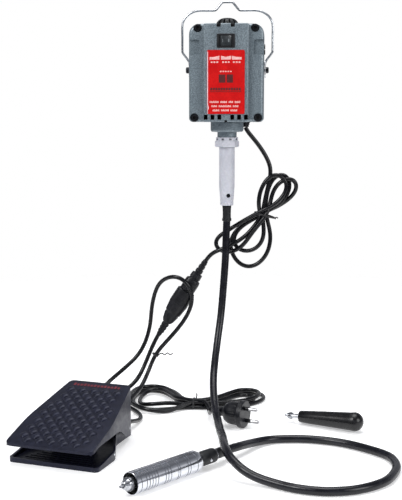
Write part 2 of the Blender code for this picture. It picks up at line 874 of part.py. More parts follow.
def pedal_base(pedal):
    base = extruded("pedal_base", base_outline(), BASE_HEIGHT, "pedal_plastic", parent=pedal)
    tray = extruded(
        "tray_room",
        base_outline(BASE_WALL),
        BASE_HEIGHT,
        "pedal_plastic",
        parent=pedal,
        location=(0, 0, BASE_WALL),
    )
    combine(base, tray)
    profile = [
        (-5 * MM, 6 * MM),
        (10 * MM, 6 * MM),
        (60 * MM, 13 * MM),
        (96 * MM, 13 * MM),
        (104 * MM, 26 * MM),
        (-5 * MM, 26 * MM),
    ]
    low_sides = extruded(
        "low_sides",
        profile,
        140 * MM,
        "pedal_plastic",
        turn=Matrix.Translation((-70 * MM, 0, 0)) @ Matrix.Rotation(pi / 2, 4, "Z") @ Matrix.Rotation(pi / 2, 4, "X"),
        parent=pedal,
    )
    combine(base, low_sides)
    pin_hole = turned(
        "base_pin_hole",
        rod(2.3 * MM, -70 * MM, 70 * MM),
        "pedal_plastic",
        12,
        ALONG_X,
        parent=pedal,
        location=(0, *HINGE),
    )
    combine(base, pin_hole)
    for i in range(2):
        boss = turned(
            f"cord_boss_{i}",
            [(0, 8 * MM), (3.8 * MM, 8 * MM), (5.4 * MM, 0), (5.4 * MM, -2 * MM), (0, -2 * MM)],
            "pedal_plastic",
            16,
            Matrix.Rotation(-pi / 2, 4, "X"),
            parent=pedal,
            location=(12 * MM + 16 * MM * i, PEDAL_LENGTH, 12 * MM),
        )
        combine(base, boss, "UNION")


def treadle(pedal):
    """The foot plate with its side skirts, hung on the hinge pin."""
    front, rear = TREADLE_FRONT[0], TREADLE_REAR[0]
    kink = 46 * MM
    outline = [
        (58 * MM, front),
        (58 * MM, kink),
        (43.5 * MM, rear),
        (-43.5 * MM, rear),
        (-58 * MM, kink),
        (-58 * MM, front),
    ]
    hinge = Vector((0, *HINGE))
    body = extruded("treadle", outline, 80 * MM, "pedal_plastic", turn=Matrix.Translation(-hinge), parent=pedal)
    body.location = hinge
    wall = 3 * MM
    room = [
        (58 * MM - wall, front - 10 * MM),
        (58 * MM - wall, kink),
        (43.5 * MM - wall, rear - wall),
        (-43.5 * MM + wall, rear - wall),
        (-58 * MM + wall, kink),
        (-58 * MM + wall, front - 10 * MM),
    ]
    under = extruded(
        "treadle_room", room, 200 * MM, "pedal_plastic", turn=Matrix.Translation((0, 0, -100 * MM)), parent=pedal
    )
    side = Matrix.Translation((-70 * MM, 0, 0)) @ Matrix.Rotation(pi / 2, 4, "Z") @ Matrix.Rotation(pi / 2, 4, "X")
    far = 200 * MM
    above_room = extruded(
        "above_room",
        [
            (-50 * MM, treadle_height(-50 * MM) - TREADLE_THICK),
            (far, treadle_height(far) - TREADLE_THICK),
            (far, far),
            (-50 * MM, far),
        ],
        140 * MM,
        "pedal_plastic",
        turn=side,
        parent=pedal,
    )
    combine(under, above_room)
    above = extruded(
        "above_treadle",
        [(-50 * MM, treadle_height(-50 * MM)), (far, treadle_height(far)), (far, far), (-50 * MM, far)],
        140 * MM,
        "pedal_plastic",
        turn=side,
        parent=pedal,
    )
    below = extruded(
        "below_skirt",
        [
            (-50 * MM, -10 * MM),
            (145 * MM, -10 * MM),
            (145 * MM, 22 * MM),
            (134 * MM, 8 * MM),
            (114 * MM, 8 * MM),
            (84 * MM, 26 * MM),
            (52 * MM, 30 * MM),
            (10 * MM, treadle_height(10 * MM) - TREADLE_THICK - 2 * MM),
            (-50 * MM, treadle_height(-50 * MM) - TREADLE_THICK - 2 * MM),
        ],
        140 * MM,
        "pedal_plastic",
        turn=side,
        parent=pedal,
    )
    rear_door = block(
        "rear_door", (-40 * MM, 125 * MM, -10 * MM), (40 * MM, 150 * MM, 31 * MM), "pedal_plastic", parent=pedal
    )
    pin_hole = turned(
        "treadle_pin_hole",
        rod(2.3 * MM, -70 * MM, 70 * MM),
        "pedal_plastic",
        12,
        ALONG_X,
        parent=pedal,
        location=hinge,
    )
    for tool in (above, under, below, rear_door, pin_hole):
        combine(body, tool)


def pedal_insides(pedal):
    turned(
        "hinge_pin", rod(2 * MM, -45 * MM, 45 * MM), "steel", 12, ALONG_X, parent=pedal, location=(0, *HINGE)
    )
    low = BASE_WALL + GAP
    control = block(
        "speed_control",
        (-22 * MM, PLUNGER_Y - 17 * MM, low),
        (22 * MM, PLUNGER_Y + 17 * MM, 23 * MM),
        "black_plastic",
        1 * MM,
        parent=pedal,
    )
    bore = turned(
        "plunger_bore", rod(3.4 * MM, 5 * MM, 30 * MM), "black_plastic", 16, parent=pedal, location=(0, PLUNGER_Y, 0)
    )
    combine(control, bore)
    top = treadle_height(PLUNGER_Y) - TREADLE_THICK - 2.2 * MM
    turned(
        "control_plunger",
        [(0, top), (2 * MM, top), (3 * MM, top - 1.5 * MM), (3 * MM, 15 * MM), (0, 15 * MM)],
        "white_plastic",
        16,
        parent=pedal,
        location=(0, PLUNGER_Y, 0),
    )
    turns = 6
    wire = 0.9 * MM
    coil = 7 * MM
    height = treadle_height(SPRING_Y - coil) - TREADLE_THICK - low - 2 * wire - 1.2 * MM
    count = turns * 9
    route = []
    for i in range(count + 1):
        angle = 2 * pi * i / 9
        rise = height * i / count
        route.append(Vector((coil * cos(angle), SPRING_Y + coil * sin(angle), low + wire + 0.1 * MM + rise)))
    tube("return_spring", route, wire, "steel", 0, parent=pedal)


def pedal_point(x, y, z):
    """A world point given in the pedal's own frame."""
    turn = Matrix.Rotation(PEDAL_YAW, 4, "Z")
    return PEDAL_PLACE + turn @ Vector((x, y, z))


# Cords ------------------------------------------------------------------------------------------


def along_line(start, end):
    """The matrix that takes local Z from `start` towards `end`."""
    ahead = (end - start).normalized()
    side = Vector((0, 1, 0))
    across = side.cross(ahead).normalized()
    return Matrix.Translation(start) @ Matrix((across, side, ahead)).transposed().to_4x4()


def flat_bodied(name, sections, turn):
    """A moulded connector: rounded rectangles of (height, half width, half depth) joined up."""
    bm = bmesh.new()
    rings = []
    for height, wide, deep in sections:
        spots = []
        for k in range(12):
            angle = 2 * pi * (k + 0.5) / 12
            x = cos(angle)
            y = sin(angle)
            spots.append((wide * abs(x) ** 0.6 * (1 if x > 0 else -1), deep * abs(y) ** 0.6 * (1 if y > 0 else -1)))
        rings.append([bm.verts.new(turn @ Vector((x, y, height))) for x, y in spots])
    for a, b in zip(rings, rings[1:]):
        for k in range(12):
            n = (k + 1) % 12
            bm.faces.new((a[k], a[n], b[n], b[k]))
    bm.faces.new(rings[0])
    bm.faces.new(rings[-1])
    return solid(name, bm, "black_plastic")


def inline_connector():
    turn = along_line(CONNECTOR_TOP, CONNECTOR_END)
    length = (CONNECTOR_END - CONNECTOR_TOP).length
    plug_end = 52 * MM
    flat_bodied(
        "inline_plug",
        [
            (0, 3.6 * MM, 3.6 * MM),
            (20 * MM, 4.6 * MM, 4.6 * MM),
            (23 * MM, 7.5 * MM, 6.5 * MM),
            (30 * MM, 8 * MM, 7 * MM),
            (34 * MM, 11 * MM, 9 * MM),
            (plug_end, 11 * MM, 9 * MM),
        ],
        turn,
    )
    flat_bodied(
        "inline_socket",
        [
            (plug_end + GAP, 13.5 * MM, 10 * MM),
            (74 * MM, 14 * MM, 10.5 * MM),
            (90 * MM, 12 * MM, 9.5 * MM),
            (106 * MM, 7.5 * MM, 7 * MM),
            (110 * MM, 5.2 * MM, 5.2 * MM),
            (length, 3.7 * MM, 3.7 * MM),
        ],
        turn,
    )


def hank(name, outline, depth, turn):
    """A tied bundle of cord as one closed solid of its outer shape."""
    loop = [Vector((x, y, 0)) * MM for x, y in outline]
    closed = smooth_route([*loop, loop[0]], 12 * MM)[:-1]
    extruded(name, [(p.x, p.y) for p in closed], depth, "black_rubber", turn=turn)


def motor_cord():
    route = millimetres(
        [
            (25, 20, -169.9),
            (25.4, 20, -173),
            (36, 21, -185),
            (49, 22, -202),
            (58, 22, -218),
            (61.5, 22, -229),
        ]
    )
    gland_end = route[0]
    route = [gland_end, *smooth_route(route, 12 * MM)[1:]]
    route.insert(1, gland_end + Vector((0, 0, -3 * MM)))
    tube("motor_cord", route, CORD_RADIUS, "black_rubber")
    outline = [
        (62, -230.5),
        (85, -232),
        (102, -252),
        (100, -285),
        (82, -312),
        (66, -336),
        (58, -364),
        (32, -376),
        (0, -366),
        (-24, -357),
        (-22, -330),
        (4, -316),
        (34, -297),
        (39, -262),
    ]
    hank("motor_cord_hank", outline, 24 * MM, Matrix.Translation((0, 34 * MM, 0)) @ ALONG_FRONT)


def pedal_lead():
    """From the socket down to the floor, up in a loop over the connector, and down to the pedal."""
    exit_y = PEDAL_LENGTH + 8 * MM + GAP
    route = [
        CONNECTOR_END + (CONNECTOR_END - CONNECTOR_TOP).normalized() * GAP,
        *millimetres(
            [
                (-106, 20, -481),
                (-117, 14, -508),
                (-129, 2, -534),
                (-147, -26, -546),
                (-168, -46, -556),
                (-184, -34, -560),
                (-178, 0, -545),
                (-150, 20, -522),
                (-128, 30, -500),
                (-115, 34, -466),
                (-111, 32, -430),
                (-102, 24, -400),
                (-88, 12, -386),
                (-70, 3, -382),
                (-56, 2, -392),
                (-49, 6, -412),
                (-54, 10, -434),
                (-67, 8, -455),
                (-85, 6, -476),
                (-103, 4, -497),
                (-113, -4, -522),
                (-121, -24, -539),
                (-131, -64, -546),
                (-139, -98, -554),
            ]
        ),
        pedal_point(12 * MM, exit_y + 14 * MM, 12 * MM),
        pedal_point(12 * MM, exit_y, 12 * MM),
    ]
    tube("pedal_lead", smooth_route(route, 15 * MM), CORD_RADIUS, "black_rubber")


def mains_lead():
    exit_y = PEDAL_LENGTH + 8 * MM + GAP
    route = [
        pedal_point(28 * MM, exit_y, 12 * MM),
        pedal_point(28 * MM, exit_y + 12 * MM, 11 * MM),
        *millimetres([(-116, -108, -560), (-111, -90, -561), (-108, -72.2, -561)]),
    ]
    tube("mains_lead", smooth_route(route, 10 * MM), CORD_RADIUS, "black_rubber")
    outline = [
        (-108, -71.5),
        (-132, -58),
        (-148, -20),
        (-150, 30),
        (-134, 66),
        (-106, 74),
        (-76, 46),
        (-50, 4),
        (-26, 14),
        (4, 48),
        (34, 60),
        (56, 44),
        (58, 14),
        (40, -14),
        (6, -40),
        (-10, -66),
        (-30, -78),
        (-48, -66),
        (-75, -68),
    ]
    hank("mains_hank", outline, 16 * MM, Matrix.Translation((0, 0, -FLOOR_DROP)))


def mains_plug():
    """A round two-pin plug lying on its edge."""
    frame = frame_at("plug_frame", PLUG_CENTRE, (pi / 2 + radians(18), 0, PLUG_YAW))
    outward = Matrix.Rotation(pi / 2, 4, "Y")
    body = turned(
        "mains_plug",
        [
            (0, 15 * MM),
            (PLUG_RADIUS - 1 * MM, 15 * MM),
            (PLUG_RADIUS, 14 * MM),
            (PLUG_RADIUS, -6 * MM),
            (10 * MM, -15 * MM),
            (6.5 * MM, -18 * MM),
            (3.8 * MM, -36 * MM),
            (0, -36 * MM),
        ],
        "black_rubber",
        24,
        outward,
        parent=frame,
    )
    for i, offset in enumerate((-9.5 * MM, 9.5 * MM)):
        pin = turned(
            f"plug_pin_{i}",
            [(0, 34 * MM), (1.4 * MM, 34 * MM), (2.4 * MM, 32.5 * MM), (2.4 * MM, 10 * MM), (0, 10 * MM)],
            "chrome",
            10,
            outward,
            parent=frame,
            location=(0, offset, 0),
        )
        combine(body, pin, "UNION")


# Chuck key --------------------------------------------------------------------------------------


def chuck_key():
    """A tapered handle with a toothed pinion at its narrow end, lying on the floor."""
    narrow, wide = 8 * MM, 12.8 * MM
    length = 91 * MM
    start = 22 * MM
    tilt = atan2(wide - narrow, length)
    frame = frame_at("key_frame", KEY_TIP, (0, pi / 2 - tilt, KEY_YAW))
    turned(
        "key_shank",
        [
            (0, 0),
            (1.6 * MM, 0),
            (1.6 * MM, 4 * MM),
            (3.2 * MM, 4.2 * MM),
            (4.6 * MM, 8 * MM),
            (4.6 * MM, 11 * MM),
            (3 * MM, 11.5 * MM),
            (3 * MM, start + 14 * MM),
            (0, start + 14 * MM),
        ],
        "chrome",
        16,
        parent=frame,
    )
    profile = [
        (3.3 * MM, start + 15 * MM),
        (3.3 * MM, start),
        (narrow - 1.5 * MM, start),
        (narrow, start + 2 * MM),
    ]
    for i in range(6):
        angle = radians(10 + 80 * i / 5)
        profile.append((wide * sin(pi / 2 - angle + radians(10)), start + length - wide + wide * sin(angle)))
    profile[-1] = (0, start + length)
    profile.append((0, start + 15 * MM))
    turned("key_handle", profile, "black_plastic", 18, parent=frame)


def main():
    clear_scene()
    housing()
    shell_screws()
    motor_ends()
    switch()
    name_plate()
    brushes()
    armature()
    cord_gland()
    bail()
    bail_screws()
    connector_sleeve()
    flexible_shaft()
    tilt_to_nose = (0, pi / 2, HANDPIECE_YAW)
    handpiece = frame_at("handpiece_frame", HANDPIECE_REAR, tilt_to_nose)
    coupler(handpiece)
    handpiece_parts(handpiece)
    pedal = frame_at("pedal_frame", PEDAL_PLACE, (0, 0, PEDAL_YAW))
    pedal_base(pedal)
    treadle(pedal)
    pedal_insides(pedal)
    motor_cord()
    inline_connector()
    pedal_lead()
    mains_lead()
    mains_plug()
    chuck_key()


main()
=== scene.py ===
from math import atan2, cos, pi, radians, sin

import bmesh
import bpy
from mathutils import Matrix, Vector


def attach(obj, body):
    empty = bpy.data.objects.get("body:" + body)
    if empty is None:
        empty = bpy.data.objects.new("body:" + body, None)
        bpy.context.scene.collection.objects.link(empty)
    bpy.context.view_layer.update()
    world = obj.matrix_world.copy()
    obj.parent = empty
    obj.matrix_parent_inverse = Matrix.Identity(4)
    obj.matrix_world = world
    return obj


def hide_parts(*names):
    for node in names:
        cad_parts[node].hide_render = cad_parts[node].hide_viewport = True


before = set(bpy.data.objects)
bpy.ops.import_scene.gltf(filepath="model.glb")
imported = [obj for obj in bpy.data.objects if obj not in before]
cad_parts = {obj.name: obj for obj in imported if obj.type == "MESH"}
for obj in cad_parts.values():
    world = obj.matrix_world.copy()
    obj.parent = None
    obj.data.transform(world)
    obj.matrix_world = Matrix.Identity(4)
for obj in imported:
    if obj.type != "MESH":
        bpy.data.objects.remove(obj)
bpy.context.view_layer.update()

# Studio -----------------------------------------------------------------------------------------
# A matt white floor that thins out into a white surround, lit by three large soft lamps, with the
# camera in front of the tool and a little above its middle. The floor's reach, the lamps and the
# camera are in metres, and every other size in this file is in millimetres.

FLOOR = -568
PATCH = 6  # how much wider a material's cloudy patches are than its grain


def linear(code):
    """An sRGB colour such as #a0b0c0 as linear red, green, blue and alpha."""
    parts = [int(code[i : i + 2], 16) / 255 for i in (1, 3, 5)]
    return (*[p / 12.92 if p <= 0.04045 else ((p + 0.055) / 1.055) ** 2.4 for p in parts], 1.0)


def add(tree, kind, inputs, **settings):
    """A new node: its inputs take values or other nodes' outputs, its settings plain values."""
    made = tree.nodes.new(kind)
    for name, value in settings.items():
        setattr(made, name, value)
    for name, value in inputs.items():
        if isinstance(value, bpy.types.NodeSocket):
            tree.links.new(value, made.inputs[name])
        else:
            made.inputs[name].default_value = value
    return made


def finish(name, dark, light, grain, rough, bump=0.0, **values):
    """A material mottled from `dark` to `light` over `grain` mm, its roughness going from rough[0]
    to rough[1] and its skin standing `bump` mm proud. `values` go straight to the shader."""
    made = bpy.data.materials.new(name)
    made.use_nodes = True
    tree = made.node_tree
    shader = tree.nodes["Principled BSDF"]
    for socket, value in values.items():
        shader.inputs[socket.replace("_", " ")].default_value = value
    place = add(tree, "ShaderNodeTexCoord", {}).outputs["Object"]
    patch_scale = 1000 / (PATCH * grain)
    patch = add(tree, "ShaderNodeTexNoise", {"Vector": place, "Scale": patch_scale, "Detail": 3.0})
    fine = add(tree, "ShaderNodeTexNoise", {"Vector": place, "Scale": 1000 / grain, "Detail": 4.0})
    blend = add(
        tree,
        "ShaderNodeMapRange",
        {
            "Value": patch.outputs["Fac"],
            "From Min": 0.35,
            "From Max": 0.65,
            "To Min": rough[0],
            "To Max": rough[1],
        },
    )
    tree.links.new(blend.outputs["Result"], shader.inputs["Roughness"])
    both = add(
        tree,
        "ShaderNodeMath",
        {0: fine.outputs["Fac"], 1: patch.outputs["Fac"], 2: 0.12},
        operation="MULTIPLY_ADD",
    )
    tone = add(tree, "ShaderNodeValToRGB", {"Fac": both.outputs["Value"]})
    for stop, at, shade in zip(tone.color_ramp.elements, (0.28, 0.48), (dark, light)):
        stop.position, stop.color = at, linear(shade)
    tree.links.new(tone.outputs["Color"], shader.inputs["Base Color"])
    if bump:
        relief = {"Height": fine.outputs["Fac"], "Distance": bump / 1000, "Strength": 1.0}
        skin = add(tree, "ShaderNodeBump", relief)
        tree.links.new(skin.outputs["Normal"], shader.inputs["Normal"])
    return made


def stand(name, data):
    """A new object in the scene, at the origin."""
    made = bpy.data.objects.new(name, data)
    bpy.context.scene.collection.objects.link(made)
    return made


bm = bmesh.new()
floor_place = Matrix.Translation((0, 0, FLOOR / 1000))
bmesh.ops.create_grid(bm, x_segments=1, y_segments=1, size=4.0, matrix=floor_place)
floor_mesh = bpy.data.meshes.new("floor")
bm.to_mesh(floor_mesh)
bm.free()
# White paper lit from within a little, which fades to nothing away from the tool, so that no
# horizon crosses behind it and its shadows stay soft.
paper = finish("matt_white_paper", "#f4f4f4", "#fafafa", 3.0, (0.85, 0.95))
paper_tree = paper.node_tree
paper_shader = paper_tree.nodes["Principled BSDF"]
paper_shader.inputs["Emission Color"].default_value = linear("#ffffff")
paper_shader.inputs["Emission Strength"].default_value = 0.34
away = add(
    paper_tree,
    "ShaderNodeVectorMath",
    {0: add(paper_tree, "ShaderNodeTexCoord", {}).outputs["Object"]},
    operation="LENGTH",
)
fade = add(
    paper_tree,
    "ShaderNodeMapRange",
    {"Value": away.outputs["Value"], "From Min": 0.62, "From Max": 1.35},
)
thinned = add(
    paper_tree,
    "ShaderNodeMixShader",
    {
        0: fade.outputs["Result"],
        1: paper_shader.outputs["BSDF"],
        2: add(paper_tree, "ShaderNodeBsdfTransparent", {}).outputs["BSDF"],
    },
)
paper_tree.links.new(thinned.outputs["Shader"], paper_tree.nodes["Material Output"].inputs["Surface"])
floor_mesh.materials.append(paper)
stand("floor", floor_mesh)

# The camera sees a white surround, while the tool is lit and mirrored by a dim grey one with a
# brighter belt a little above the horizon, which draws a streak along chrome and black plastic.
world = bpy.data.worlds.new("studio")
world.use_nodes = True
tree = world.node_tree
upwards = add(tree, "ShaderNodeTexCoord", {}).outputs["Generated"]
height = add(tree, "ShaderNodeSeparateXYZ", {0: upwards})
bands = add(tree, "ShaderNodeValToRGB", {"Fac": height.outputs["Z"]})
for stop, shade in zip(bands.color_ramp.elements, ("#84868c", "#b4b6bc")):
    stop.color = linear(shade)
for place, shade in ((0.10, "#8e9096"), (0.26, "#f2f3f8"), (0.42, "#a6a8ae"), (0.68, "#6c6e74")):
    bands.color_ramp.elements.new(place).color = linear(shade)
dim = tree.nodes["Background"]
tree.links.new(bands.outputs["Color"], dim.inputs["Color"])
dim.inputs["Strength"].default_value = 0.85
white = add(tree, "ShaderNodeBackground", {"Color": linear("#ffffff"), "Strength": 1.0})
seen = add(tree, "ShaderNodeLightPath", {})
surround = add(
    tree,
    "ShaderNodeMixShader",
    {0: seen.outputs["Is Camera Ray"], 1: dim.outputs["Background"], 2: white.outputs["Background"]},
)
tree.links.new(surround.outputs["Shader"], tree.nodes["World Output"].inputs["Surface"])
bpy.context.scene.world = world
bpy.context.scene.view_settings.view_transform = "Standard"

for label, spot, aim, size, power in (
    ("key_lamp", (-1.1, -1.3, 1.0), (0, 0, -0.25), 0.8, 24),
    ("fill_lamp", (1.5, -1.1, 0.3), (0, 0, -0.3), 0.9, 13),
    ("top_lamp", (0.1, 0.1, 1.5), (0, -0.1, -0.4), 1.4, 26),
):
    lamp = bpy.data.lights.new(label, "AREA")
    lamp.size = size
    lamp.energy = power
    lamp_object = stand(label, lamp)
    lamp_object.location = spot
    lamp_object.rotation_euler = (Vector(aim) - Vector(spot)).to_track_quat("-Z", "Y").to_euler()

lens = bpy.data.cameras.new("camera")
lens.lens = 75.6
lens.sensor_width = 36
camera = stand("camera", lens)
camera.location = (0.0668, -1.478, -0.143)
camera.rotation_euler = (radians(82.3), 0, radians(4))
bpy.context.scene.camera = camera

# Flexible shaft: sheath -------------------------------------------------------------------------
# A tube of black rubber over a wound steel liner, about a metre long, which shows fine ribs from the
# liner under its skin. It hangs from the white sleeve, rests on the floor in one wide loop and runs
# up into the handpiece's coupler.

SHEATH_RADIUS = 5.3
RIB_PITCH = 2.4


def smooth_route(points, spacing, ease=0):
    """A curve through the points as evenly spaced points, with its corners eased `ease` times."""
    points = [Vector(p) for p in points]
    points = [2 * points[0] - points[1], *points, 2 * points[-1] - points[-2]]
    fine = []
    for a, b, c, d in zip(points, points[1:], points[2:], points[3:]):
        for k in range(16):
            t = k / 16
            curve = 2 * b + (c - a) * t + (2 * a - 5 * b + 4 * c - d) * t * t
            fine.append((curve + (3 * b - 3 * c + d - a) * t * t * t) / 2)
    fine.append(points[-2])
    length = sum((q - p).length for p, q in zip(fine, fine[1:]))
    count = max(2, round(length / spacing))
    route = [fine[0]]
    walked, due = 0.0, length / count
    for p, q in zip(fine, fine[1:]):
        step = (q - p).length
        while len(route) < count and walked + step >= due:
            route.append(p.lerp(q, (due - walked) / step))
            due += length / count
        walked += step
    route.append(fine[-1])
    for _ in range(ease):
        middles = [(p + 2 * q + r) / 4 for p, q, r in zip(route, route[1:], route[2:])]
        route = [route[0], *middles, route[-1]]
    return route


def cord_curve(name, route, radius, made, stands_for=(), body="root", ribs=0.0):
    """A round cord along the route, as one open curve in metres, riding on its body. `ribs` narrows
    every other point."""
    curve = bpy.data.curves.new(name, "CURVE")
    curve.dimensions = "3D"
    curve.bevel_depth = radius / 1000
    curve.bevel_resolution = 4
    curve.use_fill_caps = True
    spline = curve.splines.new("POLY")
    spline.points.add(len(route) - 1)
    for i, (point, spot) in enumerate(zip(spline.points, route)):
        point.co = (*(spot / 1000), 1)
        point.radius = 1 - ribs * (i % 2)
    curve.materials.append(made)
    spline.use_smooth = True
    cord = stand(name, curve)
    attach(cord, body)
    if stands_for:
        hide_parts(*stands_for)
    return cord


# Black rubber, extruded: dark and half glossy, with a faint dusty bloom that lifts it off pure black.
sheath_rubber = finish("extruded_black_rubber", "#06070e", "#0e0f19", 2.0, (0.22, 0.30), 0.03, IOR=1.42)

sheath_route = smooth_route(
    [
        (0, 0, -301.8), (-1, -1, -330), (-2, -4, -362), (-6.5, -14, -427), (-11, -30, -467),
        (-14, -52, -497), (-14.4, -72, -515), (-12.5, -95, -530), (-9, -118, -542), (-4, -146, -550),
        (0.5, -178, -552), (5, -215, -547.5), (8, -250, -542), (12, -280, -541.5), (19, -303, -545),
        (33, -320, -552.5), (50, -330, -558.5), (74, -341, -562), (99, -353, -562.5),
        (131, -358, -562.5), (165, -348, -562.5), (195, -322, -562.5), (211, -286, -562.5),
        (214, -258, -562.5), (208, -233, -562.5), (189, -211, -562.5), (164, -191, -562.5),
        (141, -180, -562.5), (115, -174, -562.5), (90, -174, -562.5), (64, -181, -562),
        (44, -200, -560), (26, -231.6, -555), (13.4, -246.8, -554.5),
    ],
    RIB_PITCH / 2,
)
sheath = cord_curve(
    "shaft_sheath", sheath_route, SHEATH_RADIUS, sheath_rubber, ("sheath",), ribs=0.035
)

# Motor cord -------------------------------------------------------------------------------------
# Round mains cord in black PVC. It drops from the gland under the motor, is folded three and a half
# times into a hank tied at its waist, and ends in the flat inline plug.

CORD_RADIUS = 3.0
CORD_STEP = 2.5

# Black PVC, extruded: smooth and glossier than the rubber, with a slightly uneven skin.
cord_pvc = finish("extruded_black_pvc", "#040508", "#0a0b10", 5.0, (0.18, 0.28), 0.03, IOR=1.4)

motor_route = smooth_route(
    [
        (25, 20, -169.9), (25.4, 20, -173), (36, 21, -185), (49, 22, -202), (58, 22, -218),
        (61.5, 22, -229), (60.4, 21, -242.6), (58.6, 20, -249.8), (56.5, 19, -259.3),
        (54.4, 18, -268.9), (52.1, 17, -280.8), (50.4, 16, -291.6), (51.1, 16, -303.7),
        (52.4, 16, -314.5), (52, 16, -325.4), (48.3, 17, -335.3), (40.4, 18, -343.4),
        (29.5, 19, -347.3), (18.5, 20, -345.7), (10.1, 22, -338.8), (8.5, 24, -329.2),
        (13.3, 25, -318.9), (23, 25, -309.7), (35.2, 25, -302.3), (48.5, 25, -294.3),
        (61.8, 25, -286.9), (75.1, 25, -279), (84, 25, -268.1), (88.7, 25, -256), (88, 25, -244.6),
        (81.9, 26, -236.9), (72.8, 27, -237), (64.4, 28, -243.7), (59.3, 28, -254),
        (56.1, 28, -266.1), (54.7, 26, -279.2), (55.2, 22, -294), (58.3, 22, -306.7),
        (61.5, 22, -320), (61.6, 22, -333.4), (58.1, 22, -348.1), (49.7, 22, -361),
        (38.1, 22, -369.1), (25.9, 22, -369.9), (14.8, 22, -363.2), (7.4, 24, -352.5),
        (4.1, 27, -340.7), (6.4, 29, -327.4), (15.5, 30, -315.2), (30.2, 31, -305.4),
        (41.1, 31, -298), (52, 31, -291.2), (66.6, 31, -285.7), (80.5, 28, -277.4),
        (91.8, 24, -267.9), (98.7, 22, -256.9), (97.5, 20, -246.6), (89.7, 19, -241.8),
        (79.5, 19, -244.2), (70.5, 20, -251.5), (64.6, 21, -261.8), (61.9, 21, -272.7),
        (59.6, 18, -284.5), (54.1, 13, -296.1), (45.7, 12.5, -306.9), (34.3, 12.5, -321.5),
        (22.9, 13, -337.5), (8.9, 16, -347.1), (-5.3, 20, -348.7), (-15.3, 22, -343.3),
        (-18.2, 23, -335.5), (-14.1, 23, -327.5), (-4.3, 22, -320.6), (8.6, 20, -312.3),
        (23.2, 18, -302.9), (37.7, 16, -294.7), (50.4, 13, -287.1), (64.2, 13.5, -281),
        (76.1, 15, -270.9), (83.8, 16, -258.9), (84.5, 16, -248.2), (77.6, 15, -239.2),
        (68, 14, -235.6), (59, 13, -239.7), (51.3, 12.5, -249.9), (46.6, 12.5, -261.3),
        (44.6, 12.5, -273.3), (45.2, 14, -285.4), (47.6, 19, -297.3), (40.2, 19, -308.3),
        (30.6, 18, -320.4), (19.1, 16, -330), (7.7, 14.5, -336.6), (-3.2, 14, -342.1),
        (-15.5, 15, -346.6), (-24.2, 18, -352), (-31, 20, -361.5),
    ],
    CORD_STEP,
    ease=14,
)
motor_nodes = ("motor_cord", "motor_cord_hank")
motor_cord = cord_curve(
    "motor_cord_and_hank", motor_route, CORD_RADIUS, cord_pvc, motor_nodes
)

# Pedal lead -------------------------------------------------------------------------------------
# The same cord from the inline socket: down to the floor, up in a loop over the connector, and down
# past the wire tie to the pedal's rear wall.

PEDAL = Matrix.Translation((-194.5, -287, FLOOR)) @ Matrix.Rotation(radians(-16), 4, "Z")

pedal_route = smooth_route(
    [
        (-100.2, 20, -471.3), (-106, 20, -481), (-117, 14, -508), (-129, 2, -534),
        (-147, -26, -546), (-168, -46, -556), (-184, -34, -560), (-178, 0, -545), (-150, 20, -522),
        (-128, 30, -500), (-115, 34, -466), (-111, 32, -430), (-102, 24, -400), (-88, 12, -386),
        (-70, 3, -382), (-56, 2, -392), (-49, 6, -412), (-54, 10, -434), (-67, 8, -455),
        (-85, 6, -476), (-103, 4, -497), (-113, -4, -522), (-121, -24, -539), (-131, -64, -546),
        (-139, -98, -554), PEDAL @ Vector((12, 172.3, 12)), PEDAL @ Vector((12, 158.3, 12)),
    ],
    CORD_STEP,
    ease=30,
)
pedal_lead = cord_curve(
    "pedal_cord", pedal_route, CORD_RADIUS, cord_pvc, ("pedal_lead",)
)

# Mains lead -------------------------------------------------------------------------------------
# Two metres of the same cord from the pedal's rear wall, wound flat on the floor in three and a half
# turns, tied at the waist, and led out over the turns to the round plug.

ON_FLOOR = FLOOR + 3.1
ON_TURN = FLOOR + 8.8


def level(height, *spots):
    """Points of a route that all lie at one height."""
    return [(x, y, height) for x, y in spots]


mains_route = smooth_route(
    [
        PEDAL @ Vector((28, 158.3, 12)), PEDAL @ Vector((28, 170.3, 11)), (-116.5, -112, -562),
        *level(
            ON_FLOOR, (-113.5, -94), (-115.5, -76), (-124, -57), (-138, -34), (-146, -4),
            (-145, 28), (-132, 56), (-110, 69), (-90, 60), (-76, 40), (-66, 16), (-57, -4),
            (-45, -13), (-30, -8), (-16, 8), (-2, 30), (14, 47), (34, 53), (50, 43), (54, 22),
            (46, 2), (30, -14), (10, -25), (-12, -31), (-30, -32.5), (-45, -32.5), (-62, -35),
            (-82, -44), (-104, -48), (-122, -36), (-133, -14), (-136, 10), (-131, 36), (-117, 52),
            (-101, 50), (-88, 34), (-76, 12), (-64, -10), (-45, -19.5), (-28, -16), (-12, -4),
            (2, 16), (16, 34), (30, 38), (40, 26), (37, 8), (24, -6), (6, -16), (-12, -22),
            (-28, -26), (-45, -26),
        ),
        (-60, -27, -562), (-80, -33, -559), (-102, -38, -559.5), (-118, -28, -563),
        (-125, -8, -564.9), (-126, 14, -564.9), (-121, 34, -563), (-110, 44, -560),
        (-97, 40, -559.5), (-84, 20, -559.5), (-70, -4, -559.5),
        *level(
            ON_TURN, (-45, -16), (-28, -10), (-12, 4), (2, 24), (18, 44), (36, 46), (47, 32),
            (45, 14), (34, -4), (16, -17), (-8, -26), (-26, -29), (-45, -29),
        ),
        (-62, -40, -561), (-80, -54, -564.9), (-104, -60, -562), (-124, -48, -559.5),
        (-138, -22, -560), (-141, 10, -560), (-136, 44, -560), (-118, 60, -560), (-100, 56, -560),
        (-86, 40, -560), (-72, 14, -560), (-60, -10, -559.2), (-45, -22.5, -559), (-33, -31, -555),
        (-25, -44, -556.5), (-21, -58, -561), (-19.5, -72, -561), (-18.5, -84, -556),
        (-16.2, -95.9, -549.2),
    ],
    CORD_STEP,
    ease=8,
)
mains_nodes = ("mains_lead", "mains_hank")
